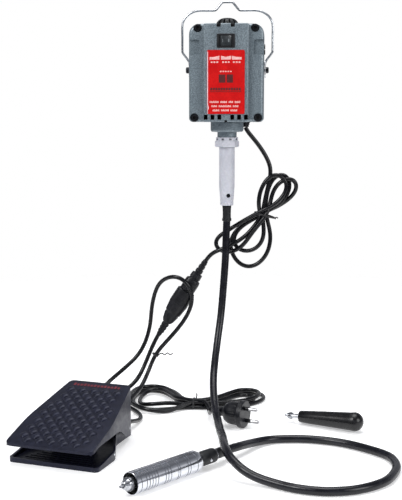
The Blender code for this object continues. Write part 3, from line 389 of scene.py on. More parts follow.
mains_lead = cord_curve(
    "mains_cord_and_hank", mains_route, CORD_RADIUS, cord_pvc, mains_nodes
)

# Motor housing ----------------------------------------------------------------------------------
# Two halves of die-cast aluminium that meet on the motor's middle plane, sprayed with blue-grey
# hammertone paint. Each has rounded side lobes, a flat raised panel, cooling slots and screw seats.

SHARP = 0.5  # the angle in radians from which an edge is rounded


def oblong(left, right, low, high):
    """The four corners of an upright oblong."""
    return (right, low), (right, high), (left, high), (left, low)


def slab(corners, depth, rounding=0, steps=5, lift=0):
    """A flat outline in XY, its corners rounded, grown upwards by `depth` from a height of `lift`.
    Like the other shapes below, it is a bmesh in millimetres."""
    bm = bmesh.new()
    points = [bm.verts.new((x, y, 0)) for x, y in corners]
    bm.faces.new(points)
    sizes = rounding if isinstance(rounding, tuple) else (rounding,) * len(points)
    for point, size in zip(points, sizes):
        if size:
            bmesh.ops.bevel(
                bm, geom=[point], offset=size, segments=steps, profile=0.5, affect="VERTICES", material=-1
            )
    grown = bmesh.ops.extrude_face_region(bm, geom=bm.faces[:])
    raised = [part for part in grown["geom"] if isinstance(part, bmesh.types.BMVert)]
    bmesh.ops.translate(bm, vec=(0, 0, depth), verts=raised)
    if lift:
        bmesh.ops.translate(bm, vec=(0, 0, lift), verts=bm.verts)
    return bm


def brick(low, high):
    """A plain block between two corners, used as a cutter or a starting shape."""
    middle = (Vector(low) + Vector(high)) / 2
    size = Vector(high) - Vector(low)
    bm = bmesh.new()
    bmesh.ops.create_cube(bm, size=1, matrix=Matrix.Translation(middle) @ Matrix.Diagonal((*size, 1)))
    return bm


def lathe(profile, steps=48, turn=None):
    """A profile of (radius, height) turned about Z; both its ends lie on the axis or it is a loop."""
    bm = bmesh.new()
    points = [bm.verts.new((radius, 0, height)) for radius, height in profile]
    pairs = list(zip(points, points[1:]))
    if profile[0][0] or profile[-1][0]:
        pairs.append((points[-1], points[0]))
    edges = [bm.edges.new(pair) for pair in pairs]
    bmesh.ops.spin(
        bm, geom=points + edges, cent=(0, 0, 0), axis=(0, 0, 1), angle=2 * pi, steps=steps, use_merge=True
    )
    bmesh.ops.remove_doubles(bm, verts=bm.verts, dist=0.001)
    bmesh.ops.recalc_face_normals(bm, faces=bm.faces)
    if turn:
        bmesh.ops.transform(bm, matrix=turn, verts=bm.verts)
    return bm


def rod(radius, low, high, steps, turn=None):
    """A plain solid cylinder on Z."""
    return lathe([(0, low), (radius, low), (radius, high), (0, high)], steps, turn)


def joined(bm, other, turn=None, paint=None):
    """Adds `other` to `bm`, turned into place first. `paint` is the number of its material."""
    if turn:
        bmesh.ops.transform(other, matrix=turn, verts=other.verts)
    if paint is not None:
        for face in other.faces:
            face.material_index = paint
    mesh = bpy.data.meshes.new("joining")
    other.to_mesh(mesh)
    other.free()
    bm.from_mesh(mesh)
    bpy.data.meshes.remove(mesh)
    return bm


def round_z(count, shape, first=0, paint=None):
    """`count` copies of what `shape` makes, spread evenly round Z from an angle of `first` degrees."""
    copies = bmesh.new()
    for k in range(count):
        joined(copies, shape(), Matrix.Rotation(radians(first + 360 * k / count), 4, "Z"), paint)
    return copies


def soften(bm, size, steps, where):
    """Rounds the sharp edges whose two ends both pass the test."""
    sharp = [e for e in bm.edges if e.calc_face_angle(0) > SHARP]
    bmesh.ops.bevel(
        bm,
        geom=[e for e in sharp if all(where(v.co) for v in e.verts)],
        offset=size,
        segments=steps,
        profile=0.5,
        affect="EDGES",
        material=-1,
        clamp_overlap=True,
    )
    return bm


def carved(bm, tool, operation="DIFFERENCE"):
    """One closed shape with another cut out of it or, with UNION, joined on."""
    pair = []
    for part in (bm, tool):
        bmesh.ops.remove_doubles(part, verts=part.verts, dist=0.001)
        bmesh.ops.recalc_face_normals(part, faces=part.faces)
        mesh = bpy.data.meshes.new("carving")
        part.to_mesh(mesh)
        part.free()
        pair.append(stand("carving", mesh))
    change = pair[0].modifiers.new("carve", "BOOLEAN")
    change.operation = operation
    change.solver = "EXACT"
    change.use_self = True
    change.object = pair[1]
    bpy.context.view_layer.update()
    graph = bpy.context.evaluated_depsgraph_get()
    made = bpy.data.meshes.new_from_object(pair[0].evaluated_get(graph))
    result = bmesh.new()
    result.from_mesh(made)
    used = [item.data for item in pair] + [made]
    for item in pair:
        bpy.data.objects.remove(item)
    for mesh in used:
        bpy.data.meshes.remove(mesh)
    return result


def keep(name, bm, made, body, stands_for=(), turn=None, smooth=32):
    """Finishes a piece: points merged, faces turned outwards, placed, shaded smooth below `smooth`
    degrees, brought to metres, given its material or materials and set to ride on its body."""
    bmesh.ops.remove_doubles(bm, verts=bm.verts, dist=0.0005)
    if turn:
        bmesh.ops.transform(bm, matrix=turn, verts=bm.verts)
    bmesh.ops.recalc_face_normals(bm, faces=bm.faces)
    bmesh.ops.scale(bm, vec=(0.001, 0.001, 0.001), verts=bm.verts)
    for face in bm.faces:
        face.smooth = True
    mesh = bpy.data.meshes.new(name)
    bm.to_mesh(mesh)
    bm.free()
    mesh.set_sharp_from_angle(angle=radians(smooth))
    for material in made if isinstance(made, list) else [made]:
        mesh.materials.append(material)
    piece = stand(name, mesh)
    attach(piece, body)
    if stands_for:
        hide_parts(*stands_for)
    return piece


# Hammertone enamel: metallic flake pulled into cells about 1.5 mm wide, each a shallow dimple with a
# lighter middle, under a hard clear gloss. The cells catch the lamps as a fine bright speckle.
hammertone = bpy.data.materials.new("hammertone_enamel")
hammertone.use_nodes = True
tree = hammertone.node_tree
shader = tree.nodes["Principled BSDF"]
for socket, value in (("Metallic", 0.25), ("IOR", 1.5), ("Coat Weight", 0.35), ("Coat Roughness", 0.12)):
    shader.inputs[socket].default_value = value
place = add(tree, "ShaderNodeTexCoord", {}).outputs["Object"]
cells = add(
    tree,
    "ShaderNodeTexVoronoi",
    {"Vector": place, "Scale": 700.0, "Smoothness": 0.6, "Randomness": 1.0},
    feature="SMOOTH_F1",
)
flake = add(tree, "ShaderNodeTexNoise", {"Vector": place, "Scale": 900.0, "Detail": 3.0, "Roughness": 0.7})
clouds = add(tree, "ShaderNodeTexNoise", {"Vector": place, "Scale": 60.0, "Detail": 2.0})
spread = add(
    tree, "ShaderNodeMath", {0: cells.outputs["Distance"], 1: flake.outputs["Fac"]}, operation="MULTIPLY"
)
tint = add(tree, "ShaderNodeValToRGB", {"Fac": spread.outputs["Value"]})
for stop, at, shade in zip(tint.color_ramp.elements, (0.10, 0.30), ("#8b989e", "#66727a")):
    stop.position, stop.color = at, linear(shade)
tree.links.new(tint.outputs["Color"], shader.inputs["Base Color"])
gloss = add(
    tree,
    "ShaderNodeMapRange",
    {"Value": clouds.outputs["Fac"], "From Min": 0.3, "From Max": 0.7, "To Min": 0.30, "To Max": 0.42},
)
tree.links.new(gloss.outputs["Result"], shader.inputs["Roughness"])
dimples = add(
    tree, "ShaderNodeBump", {"Height": cells.outputs["Distance"], "Distance": 0.00025, "Strength": 0.55}
)
tree.links.new(dimples.outputs["Normal"], shader.inputs["Normal"])

FRONTWARDS = Matrix.Rotation(pi / 2, 4, "X")
SIDEWAYS = Matrix.Rotation(pi / 2, 4, "Y")
LOW, HIGH = -162, -29.7
SCREWS = ((39, -35.2), (-39, -35.2), (43.5, -156), (-43.5, -156))
BRUSH_HEIGHT = -63
BAIL_HEIGHT = -91


def shell_half(side):
    """One half of the housing, facing up. The front half, side -1, has the switch's hole in a raised
    border, and the rear half, side 1, has the hole for the cord gland."""
    lobes = slab(oblong(-51, 51, LOW, HIGH), 31.85, (5, 14, 14, 5), 8, lift=0.15)
    soften(lobes, 4.2, 6, lambda co: co.z > 31)
    panel = slab(oblong(-30.5, 30.5, LOW, HIGH), 30, 2, 3, lift=10)
    soften(panel, 1.6, 4, lambda co: co.z > 39)
    half = carved(lobes, panel, "UNION")
    half = carved(half, slab(oblong(-40, 40, -150, -37), 28, 12, 2, lift=-2))
    upright = FRONTWARDS.inverted()
    # The upper bearing's bore, the lobes' side pockets, the bores for the brushes and the bail screws,
    # the lower bore and the room that the fan turns in.
    cuts = rod(9.8, -50, -10, 24, upright)
    for hand in (-1, 1):
        pocket = slab(oblong(37, 62, -71, -51), 12, (0, 0, 3, 3), 3)
        joined(cuts, pocket, Matrix.Diagonal((hand, 1, 1, 1)) @ Matrix.Translation((0, 0, 27.6)))
    joined(cuts, rod(7.7, -60, 60, 24, Matrix.Translation((0, BRUSH_HEIGHT, 0)) @ SIDEWAYS))
    joined(cuts, rod(2.3, -60, 60, 16, Matrix.Translation((0, BAIL_HEIGHT, 0)) @ SIDEWAYS))
    joined(cuts, rod(9.8, -175, -150, 24, upright))
    joined(cuts, rod(29, -149.8, -135, 48, upright))
    for x, z in SCREWS:
        seat = [(0, -5), (2.3, -5), (2.3, 27), (6, 27), (6, 60), (0, 60)]
        joined(cuts, lathe(seat, 24, Matrix.Translation((x, z, 0))))
    # The cooling slots' walls take material 1, near black: painted shade inside the slots.
    slots = [(x, -158.8, -152, 2.6) for x in (-27.4, -18.1, -8.8, 8.8, 18.1, 27.4)]
    slots += [(-10, -34.6, -20, 2.8), (9, -34.6, -20, 2.8), (0, -165, -159.5, 2)]
    for x, low, high, half_width in slots:
        slot = slab(oblong(x - half_width, x + half_width, low, high), 40, 0.7, 3)
        joined(cuts, slot, Matrix.Translation((0, 0, 28)), paint=1)
    half = carved(half, cuts)
    if side < 0:
        half = carved(half, slab(oblong(-10.8, 10.8, -61, -45), 40, 1, 3))
        border = slab(oblong(-15, 15, -65.2, -41.4), 0.75, 1.5, 4, lift=39.9)
        hole = slab(oblong(-12.6, 12.6, -62.6, -43.8), 3, 1, 4, lift=38.5)
        half = joined(half, carved(border, hole))
    else:
        half = carved(half, rod(5.2, -175, -140, 24, upright @ Matrix.Translation((25, -20, 0))))
    return half


# Inside the slots, and in the screws' sockets, a near-black rough material is painted shade in the
# recesses.
painted_shade_casting = finish("painted_shade_in_recesses", "#08090a", "#121315", 1.5, (0.7, 0.85), 0.1)

hammertone_and_slot_shade = [hammertone, painted_shade_casting]
for name, side, node in (
    ("housing_front", -1, "front_shell"),
    ("housing_rear", 1, "rear_shell"),
):
    facing = Matrix.Diagonal((1, -side, 1, 1)) @ FRONTWARDS
    keep(name, shell_half(side), hammertone_and_slot_shade, "root", (node,), facing, smooth=28)

# Vented cap -------------------------------------------------------------------------------------
# A domed cover of black glass-filled nylon pressed over the upper bearing. A ring of slots in its
# flank lets air in, and a lug on its left side stops it from turning.

# Glass-filled nylon: a dull satin black with a faint grey bloom where the fibres reach the skin.
nylon = finish("glass_filled_nylon", "#0b0d10", "#171a1e", 0.8, (0.40, 0.55), 0.03, IOR=1.42)

dome = [(0, -19.8), (5, -20), (9, -21), (12.4, -23), (14.6, -25.8), (15.5, -28.4)]
dome += [(15.5, -29.4), (0, -29.4)]
cap = carved(lathe(dome, 60), round_z(12, lambda: brick((9.6, -1.3, -27.9), (18, 1.3, -20)), 15))
joined(cap, rod(9.4, -29.2, -22, 40))
joined(cap, soften(brick((-20.5, -2, -29.3), (-15, 2, -26.8)), 0.6, 2, lambda co: co.x < -20))
keep("bearing_cap", cap, nylon, "root", ("top_vent_cap",))

# Housing screws ---------------------------------------------------------------------------------
# Four socket-head screws in blackened steel, sunk in round seats, that pull the two halves together.

# Blackened steel: an oily satin black with a touch of metal in its highlights.
black_oxide = finish("blackened_steel", "#1b1d20", "#303338", 0.6, (0.30, 0.42), 0.02, Metallic=0.8)

for (x, z), label in zip(SCREWS, ("top_right", "top_left", "bottom_right", "bottom_left")):
    head = [(0, 29), (2.4, 29), (2.6, 31), (2.6, 31.6), (4.7, 31.6), (5.2, 31.1), (5.2, 27.4)]
    screw = lathe([*head, (1.9, 27.4), (1.9, -24), (0, -24)], 36)
    # The socket's walls take the near-black material: painted shade in the socket.
    screw = carved(screw, joined(bmesh.new(), rod(2.9, 28.6, 34, 6), paint=1))
    keep(
        f"housing_screw_{label}",
        screw,
        [black_oxide, painted_shade_casting],
        "root",
        (f"shell_screw_{label}",),
        Matrix.Translation((x, 0, z)) @ FRONTWARDS,
    )

# Brush caps -------------------------------------------------------------------------------------
# Slotted screw caps of black phenolic in the sides of the lobes, which hold the brush springs.

# Phenolic resin: moulded hard and shiny, a little brown in its black.
phenolic = finish("moulded_phenolic", "#100e0d", "#1c1917", 1.2, (0.22, 0.34), 0.01, IOR=1.6)

HANDS = ((-1, "left"), (1, "right"))

for hand, label in HANDS:
    cap = lathe([(0, 52.5), (6.4, 52.5), (7.2, 51.8), (7.2, 36), (0, 36)], 40)
    cap = carved(cap, brick((-0.8, -9, 51.2), (0.8, 9, 54)))
    outwards = Matrix.Translation((0, 0, BRUSH_HEIGHT)) @ Matrix.Rotation(hand * pi / 2, 4, "Y")
    keep(f"brush_screw_{label}", cap, phenolic, "root", (f"brush_cap_{label}",), outwards)

# Bail -------------------------------------------------------------------------------------------
# Spring wire, 3 mm, bent cold to a hook seat in the middle, its ends hammered flat, pierced and hung
# on two shouldered screws in the motor's sides.

# Bright zinc plate: silver, a little blue, with a drawn grain along the wire.
zinc_plate = finish("bright_zinc_plate", "#b4b8bd", "#e6e8eb", 0.5, (0.16, 0.28), 0.01, Metallic=1.0)

BAIL_RADIUS = 1.5
TAB = 1.5  # the thickness of the flattened ends

half_bail = [
    (0, 0, 1.5), (5, 0, 1.5), (8, 0, 0.3), (15, 0, -8), (18, 0, -9.6), (24, 0, -9.8), (39, 0, -9.8),
    (48, 0, -11.8), (56, 0, -16.9), (61, 0, -24), (62.5, 0, -32), (62.5, 0, -48), (62.5, 0, -64),
    (61.4, 0, -68), (54.6, 0, -77), (52.6, 0, -81), (52.4, 0, -84),
]
other_half = [(-x, y, z) for x, y, z in reversed(half_bail[1:])]
bail_route = smooth_route(other_half + half_bail, 1.5)
cord_curve("bail_wire", bail_route, BAIL_RADIUS, zinc_plate, ("bail",), "bail")
for hand, label in HANDS:
    tab = slab(oblong(-6, 6, -101.5, -79), TAB, (5.9, 3, 3, 5.9), 8)
    tab = carved(tab, rod(2.4, -2, 4, 32, Matrix.Translation((0, BAIL_HEIGHT, 0))))
    soften(tab, 0.35, 2, lambda co: co.z > TAB - 0.1)
    flank = Matrix.Translation((hand * 52.4 - TAB / 2, 0, 0))
    sideways = flank @ Matrix.Rotation(pi / 2, 4, "Z") @ FRONTWARDS
    keep(f"bail_tab_{label}", tab, zinc_plate, "bail", turn=sideways)
    screw = [(0, 57.5), (3, 57.5), (4.1, 56.9), (4.3, 56), (4.3, 53.6), (1.9, 53.6), (1.9, 45), (0, 45)]
    screw = carved(lathe(screw, 36), rod(1.7, 55.6, 60, 6))
    outwards = Matrix.Translation((0, 0, BAIL_HEIGHT)) @ Matrix.Rotation(hand * pi / 2, 4, "Y")
    node = f"bail_screw_{label}"
    keep(f"bail_pivot_{label}", screw, black_oxide, "root", (node,), outwards)

# Switch -----------------------------------------------------------------------------------------
# A three-position rocker: forward, off, reverse. Its black bezel snaps into the front half, and the
# smoky rocker has a hollow in each end for a finger and three faint marks.

# Moulded nylon for the bezel, and a smoky grey ABS with a satin skin for the rocker.
bezel_black = finish("bezel_nylon", "#08090b", "#131418", 0.8, (0.3, 0.42), 0.015, IOR=1.53)
rocker_grey = finish("smoky_grey_abs", "#1c2124", "#2a3034", 0.8, (0.32, 0.45), 0.02, IOR=1.53)
pale_ink = finish("pale_grey_pad_ink", "#6d7478", "#838a8e", 0.8, (0.45, 0.6))

bezel = slab(oblong(-12, 12, -62.25, -43.75), 1.6, 0.8, 3, lift=40.3)
soften(bezel, 0.5, 3, lambda co: co.z > 41.8)
bezel = carved(bezel, brick((-10.5, -60.7, 30), (10.5, -45.3, 40.9)), "UNION")
bezel = carved(bezel, brick((-8.5, -60.2, 33), (8.5, -45.8, 50)))
keep("switch_bezel", bezel, bezel_black, "root", ("switch_frame",), FRONTWARDS)

rocker_outline = ((-7.5, -3.4), (-4, -2.3), (0, -2.2), (4, -2.3), (7.5, -3.4))
rocker_outline += ((6.5, 1.2), (2.5, 3.2), (-2.5, 3.2), (-6.5, 1.2))
rocker = slab(rocker_outline, 13.6, (0.4, 2, 2, 2, 0.4, 0.3, 0.3, 0.3, 0.3), 3)
bmesh.ops.translate(rocker, vec=(0, -39.5, -59.8), verts=rocker.verts)
soften(rocker, 0.4, 2, lambda co: co.y < -41)
for x in (-4.6, 4.6, 3.4):
    joined(rocker, brick((x - 0.45, -42.1, -55), (x + 0.45, -41.7, -51)), paint=1)
keep("rocker", rocker, [rocker_grey, pale_ink], "rocker", ("switch_rocker",))

# Label ------------------------------------------------------------------------------------------
# A red vinyl label over a thin aluminium plate: three switch drawings, two plain dark blocks and
# bars in the middle, and three rows of white bars, all screen printed in slightly raised ink.

# Screen-printed vinyl: an even bright red with the faintest orange peel under a clear layer.
red_vinyl = finish("red_vinyl", "#c30507", "#d20a09", 2.5, (0.38, 0.48), 0.01, IOR=1.32)
pale_edge = finish("bare_label_edge", "#e3b9bf", "#f2d6da", 1.5, (0.4, 0.5))
cream_ink = finish("cream_screen_ink", "#e9aeaa", "#f4c6c1", 0.7, (0.5, 0.6))
dark_ink = finish("maroon_screen_ink", "#47060a", "#5c0a0d", 0.7, (0.5, 0.6))

label = slab(oblong(-25.5, 25.5, -151, -65.4), 0.5, 2, 4, lift=40.3)
# The numbers of the materials, as the label's list has them.
EDGE, CREAM, MAROON = 1, 2, 3


def printed(corners, paint):
    """A printed mark on the label, as a low solid of ink that stands 0.08 mm proud."""
    joined(label, slab(corners, 0.1), Matrix.Translation((0, 0, 40.78)), paint=paint)


def printed_bar(left, right, low, high, paint):
    """A printed oblong."""
    printed(oblong(left, right, low, high), paint)


printed_bar(-25.4, -24.2, -149, -67.5, EDGE)
printed_bar(-25.3, -24.2, -150.4, -140, EDGE)
printed(((-24.2, -146), (-22.9, -143), (-24.2, -138)), EDGE)
for middle, tilt in ((-15.5, 1), (0, 0), (14.5, -1)):
    left, right = middle - 6.6, middle + 6.6
    top_left, top_right = -73.2 - 1.8 * max(tilt, 0), -73.2 - 1.8 * max(-tilt, 0)
    ends = (right, -78.2), (right, top_right), (middle, -74.6), (left, top_left), (left, -78.2)
    printed(ends, CREAM)
    for k in range(3):
        printed_bar(middle - 5 + 3.8 * k, middle - 2.6 + 3.8 * k, -82.6, -80.6, CREAM)
for k in range(5):
    printed_bar(-8 + 3.4 * k, -5.8 + 3.4 * k, -94.8, -93.2, CREAM)
printed_bar(-9.6, -0.6, -109, -98, MAROON)
printed_bar(1.2, 9.6, -109, -98, MAROON)
for k in range(12):
    printed_bar(-21 + 3.5 * k, -18.4 + 3.5 * k, -119.4, -115.8, MAROON)
printed_bar(-22, 21, -121.4, -120.7, MAROON)

BAR_PITCH = 1.56
WORD_GAP = 2
for row, words in enumerate(((8, 6, 4, 5), (5, 11, 5), (6, 7, 6))):
    low = -136.2 - 5.6 * row
    spot = -sum(words) * BAR_PITCH / 2 - len(words) * WORD_GAP / 2
    for word in words:
        for k in range(word):
            left = spot + BAR_PITCH * k
            printed_bar(left, left + 1.15, low, low + 2.2 + 0.5 * ((3 * k + word) % 2), CREAM)
        spot += BAR_PITCH * word + WORD_GAP
inks = [red_vinyl, pale_edge, cream_ink, dark_ink]
keep("label", label, inks, "root", ("name_plate",), FRONTWARDS)

# Nose collar and coupling nut -------------------------------------------------------------------
# A painted cast collar under the housing carries the shaft. On its neck sits a white acetal nut: a
# slotted ring above and a hexagon below, for a spanner.

# White acetal: smooth, slightly translucent and cool, like the sleeve below it.
acetal = finish(
    "white_acetal", "#c2c2cb", "#d0d0d8", 3.0, (0.30, 0.42), 0.01, IOR=1.48, Subsurface_Weight=0.04
)

collar = lathe(
    [
        (9.5, -162.3), (22.6, -162.3), (23, -162.9), (23, -172.8), (22.5, -174.6), (21.2, -175.8),
        (19.5, -176), (14.2, -176), (13.5, -176.6), (13.5, -183.2), (9.5, -183.2),
    ],
    64,
)
keep("nose_collar_casting", collar, hammertone, "root", ("nose_collar",))

nut = lathe([(7.5, -183.5), (15, -183.5), (15.4, -184), (15.4, -188.6), (7.5, -188.6)], 60)
nut = carved(nut, round_z(9, lambda: brick((13.6, -1.7, -187.4), (18, 1.7, -184.9)), 10, 1))
hexagon = lathe([(7.5, -188.6), (17.2, -188.6), (17.2, -197), (7.5, -197)], 6)
shoulder = lathe([(0, -188), (16, -188.2), (17.2, -189.8), (17.2, -195.6), (16, -197.2), (0, -197.4)], 60)
hexagon = carved(hexagon, shoulder, "INTERSECT")
joined(nut, hexagon, Matrix.Rotation(radians(12), 4, "Z"))
shaded_acetal = finish("shadowed_acetal", "#6e7078", "#8a8c94", 2.0, (0.5, 0.6))
keep("shaft_nut", nut, [acetal, shaded_acetal], "root", ("coupling_nut",))

# Connector sleeve -------------------------------------------------------------------------------
# A turned white acetal sleeve with a tapered end. It grips the shaft's ferrule with one socket set
# screw in a raised ring near the bottom.

SET_SCREW_PLACE = Matrix.Rotation(radians(15), 4, "Z") @ Matrix.Translation((0, 0, -265)) @ FRONTWARDS

sleeve = lathe(
    [
        (6.8, -197.3), (10.6, -197.3), (10.9, -197.7), (10.9, -250), (10.75, -254), (10, -264),
        (9.3, -272), (9.1, -274.4), (9.25, -274.8), (9.2, -278.4), (8.8, -279), (6.8, -279),
    ],
    64,
)
ring = lathe([(0, 6.9), (4.1, 6.9), (4.1, 9.9), (3.7, 10.25), (0, 10.25)], 40)
bmesh.ops.transform(ring, matrix=SET_SCREW_PLACE, verts=ring.verts)
sleeve = carved(sleeve, ring, "UNION")
sleeve = carved(sleeve, rod(3, 6, 20, 32, SET_SCREW_PLACE))
sleeve = carved(sleeve, rod(6.8, -300, -190, 48))
keep("shaft_sleeve", sleeve, acetal, "root", ("connector_sleeve",), smooth=24)

grub = lathe([(0, 8.4), (1.4, 8.4), (1.4, 9.5), (2.1, 9.7), (2.6, 9.3), (2.6, 6.8), (0, 6.8)], 24)
keep("grub_screw", grub, black_oxide, "root", ("sleeve_set_screw",), SET_SCREW_PLACE)

# Ferrule ----------------------------------------------------------------------------------------
# A fluted black nylon ferrule crimped on the sheath's end, with a plain ring at its mouth.

ferrule = lathe(
    [
        (3.6, -240), (6.3, -240), (6.4, -280), (6, -284), (5.75, -290), (5.8, -296), (6, -297.4),
        (6.6, -298), (6.6, -300.8), (6, -301.5), (3.6, -301.5),
    ],
    56,
)
flute = [(0, -296.4), (0.55, -295.6), (0.55, -280.6), (0, -279.8)]
ferrule = carved(ferrule, round_z(14, lambda: lathe(flute, 10, Matrix.Translation((6.35, 0, 0)))))
keep("sheath_ferrule_fluted", ferrule, nylon, "root", ("sheath_ferrule",))

# Cord gland -------------------------------------------------------------------------------------
# A moulded rubber gland pushed into the rear half, ringed so that it bends with the cord.

gland = lathe(
    [
        (0, -150.5), (4.9, -150.5), (4.9, -162.3), (6.5, -162.3), (6.5, -164), (5.6, -164.3),
        (5.6, -165), (5.9, -165.2), (5.6, -166.6), (4.9, -166.8), (4.9, -167.5), (5.1, -167.7),
        (4.6, -169.5), (0, -169.5),
    ],
    32,
)
below_gland = Matrix.Translation((25, 20, 0))
keep("cord_boot", gland, sheath_rubber, "root", ("cord_gland",), below_gland)

# Motor insides ----------------------------------------------------------------------------------
# The steel armature with its copper commutator and fan, the laminated field core, two ball bearings
# and the carbon brushes. They are turned, stamped and pressed parts, hidden in the housing.


def coat(made, *nodes):
    """Gives CAD nodes whose shape is kept a better material."""
    for name in nodes:
        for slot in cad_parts[name].material_slots:
            slot.material = made


# Ground steel is bright with fine marks, laminations are dull and blued, carbon is matt and grey, and
# the commutator's copper is brown from the brushes.
ground_steel = finish("ground_steel", "#8d9095", "#b6b9bd", 0.4, (0.22, 0.36), 0.01, Metallic=1.0)
laminations = finish("blued_laminations", "#3c4046", "#5a5f66", 0.5, (0.45, 0.6), 0.05, Metallic=0.9)
carbon = finish("pressed_carbon", "#1b1b1c", "#2c2c2d", 0.3, (0.6, 0.75), 0.02)
copper = finish("worn_copper", "#7c4a2e", "#b87950", 0.6, (0.25, 0.45), 0.02, Metallic=1.0)
coat(ground_steel, "armature_shaft", "upper_bearing", "lower_bearing", "flex_core", "key_tip")
coat(laminations, "armature_core", "field_core")
coat(carbon, "carbon_brush_left", "carbon_brush_right")
coat(copper, "commutator")
coat(nylon, "cooling_fan")

# Tool-end coupler -------------------------------------------------------------------------------
# The black ferrule and collar at the sheath's end. The collar carries a sprung steel ball that snaps
# into the handpiece, and a bright retaining ring closes its back.

HANDPIECE = Matrix(
    (
        (0, 0.76940, -0.63877, -20),
        (0, -0.63877, -0.76940, -287),
        (-1, 0, 0, -554.5),
        (0, 0, 0, 1),
    )
)

chrome = finish("hard_chrome", "#d3d5db", "#dee0e6", 14.0, (0.13, 0.16), 0.0, Metallic=1.0)

coupler = lathe(
    [
        (3, -52), (5.6, -52), (6.3, -51), (6.3, -47.5), (5.9, -47), (5.9, -45.6), (6.3, -45), (6.3, -42),
        (5.9, -41.5), (5.9, -40), (6.3, -39.4), (6.3, -26.6), (7.9, -26.4), (8.6, -25.8), (8.9, -24.6),
        (8.9, -3), (8.4, -1.2), (7.6, -0.6), (6.3, -0.6), (6.3, 22), (3, 22),
    ],
    56,
)
ring = lathe([(6.2, -27.6), (7.5, -27.5), (7.9, -27), (7.5, -26.5), (6.2, -26.5)], 56)
joined(coupler, ring, paint=1)
ball = lathe([(0, -1.9), (1, -1.6), (1.65, -0.9), (1.9, 0), (1.65, 0.9), (1, 1.6), (0, 1.9)], 20)
joined(coupler, ball, Matrix.Rotation(radians(78), 4, "Z") @ Matrix.Translation((8.4, 0, -14)), paint=1)
keep("coupler", coupler, [nylon, chrome], "root", ("tool_end_coupler",), HANDPIECE)

# Handpiece barrel -------------------------------------------------------------------------------
# A turned and chromed brass barrel with a long chamfer at the back and groups of engraved grip rings,
# closed at the front by a black ring round the chuck.

GRIP_RINGS = (13, 25, 29, 42, 45, 56.5, 61, 65, 77, 81.3, 85.6, 90, 94.3, 102)

BARREL_RADIUS = 13.2
GROOVE_RADIUS = 12.8

# The engraved rings are painted a darker, duller chrome, as painted shade in the grooves, so that they
# read as fine dark lines on the mirror.
groove_shade_chrome = finish("groove_painted_shade_chrome", "#5d6067", "#7d8088", 1.0, (0.35, 0.5), 0.0, Metallic=1.0)

profile = [(6.8, 0), (9.8, 0), (10.1, 0.3), (12.9, 6), (BARREL_RADIUS, 6.8)]
for height in GRIP_RINGS:
    profile += [(BARREL_RADIUS, height - 0.5), (GROOVE_RADIUS, height - 0.25)]
    profile += [(GROOVE_RADIUS, height + 0.25), (BARREL_RADIUS, height + 0.5)]
profile += [(BARREL_RADIUS, 107.4), (12.9, 108), (12.5, 108), (12.4, 98), (9.2, 98), (9.2, 27)]
barrel = lathe([*profile, (6.8, 27)], 96)
# The grooves' faces take the darker chrome: painted shade in the grooves.
for face in barrel.faces:
    middle = face.calc_center_median()
    if GROOVE_RADIUS - 0.2 < middle.xy.length < BARREL_RADIUS - 0.05 and 7 < middle.z < 107:
        face.material_index = 1
keep(
    "barrel",
    barrel,
    [chrome, groove_shade_chrome],
    "handpiece",
    ("handpiece_barrel",),
    HANDPIECE,
    smooth=25,
)
mouth = lathe([(9, 98.4), (12, 98.4), (12, 105.2), (11.4, 106), (9.6, 104.6), (9, 103.6)], 72)
keep("barrel_mouth_ring", mouth, nylon, "handpiece", ("nose_ring",), HANDPIECE)
coat(ground_steel, "spindle_bearing", "spindle_shaft")

# Chuck ------------------------------------------------------------------------------------------
# A three-jaw key chuck in ground steel: a tapered body, a turning ring with key holes and a toothed
# front edge, and three hardened jaws that close on the bit.

chuck_steel = finish("polished_chuck_steel", "#a9abb0", "#d2d4d8", 0.5, (0.14, 0.26), 0.01, Metallic=1.0)
toothed_steel = finish("toothed_ring_steel", "#6b6d72", "#97999e", 0.5, (0.24, 0.36), 0.02, Metallic=1.0)

body = lathe(
    [
        (0, 95), (8, 95), (8.2, 95.3), (8.2, 100.6), (7.1, 100.6), (7.1, 113.2), (6.6, 114.2),
        (4.6, 118.6), (4.1, 119), (2.7, 119), (6.9, 97), (0, 97),
    ],
    64,
)
keep("chuck_taper", body, chuck_steel, "spindle", ("chuck_body",), HANDPIECE)
chuck_ring = lathe([(7.4, 101), (8.3, 101), (8.5, 101.3), (8.5, 110.8), (8.2, 113), (7.4, 113)], 72)
notches = round_z(24, lambda: brick((7, -0.45, 111.3), (9, 0.45, 114)))
key_hole = Matrix.Translation((0, 0, 106)) @ SIDEWAYS
# The key holes' walls take the dark blackened-steel material: painted shade in the holes.
joined(notches, round_z(3, lambda: rod(1.5, 7, 10, 20, key_hole), 62, 1))
chuck_ring = carved(chuck_ring, notches)
ring_steel_and_hole_shade = [toothed_steel, black_oxide]
keep("chuck_key_ring", chuck_ring, ring_steel_and_hole_shade, "chuck_ring", ("chuck_sleeve",), HANDPIECE)
coat(toothed_steel, "jaw_1", "jaw_2", "jaw_3")

# Pedal base -------------------------------------------------------------------------------------
# A moulded tray of charcoal ABS, open at the front like a jaw, with ribs on its side walls, a bright
# rivet on each side and two bosses at the back where the cords enter.

# Charcoal ABS: blue-black, satin, with a fine sparked grain that scatters the lamps.
pedal_abs = finish("charcoal_abs", "#0b0c18", "#161829", 1.0, (0.34, 0.44), 0.04, IOR=1.45)
pedal_abs.node_tree.nodes["Principled BSDF"].inputs["Specular Tint"].default_value = linear("#ced2ea")

base = slab(
    ((60, 0), (60, 50), (38, 100), (38, 150), (-38, 150), (-38, 100), (-60, 50), (-60, 0)),
    24,
    (6, 4, 6, 4, 4, 6, 4, 6),
    5,
)
soften(base, 0.8, 2, lambda co: co.z < 1)
tray = slab(
    ((57, 3), (57, 50), (35, 100), (35, 147), (-35, 147), (-35, 100), (-57, 50), (-57, 3)),
    30,
    (4, 2, 4, 2, 2, 4, 2, 4),
    5,
    lift=3,
)
base = carved(base, tray)
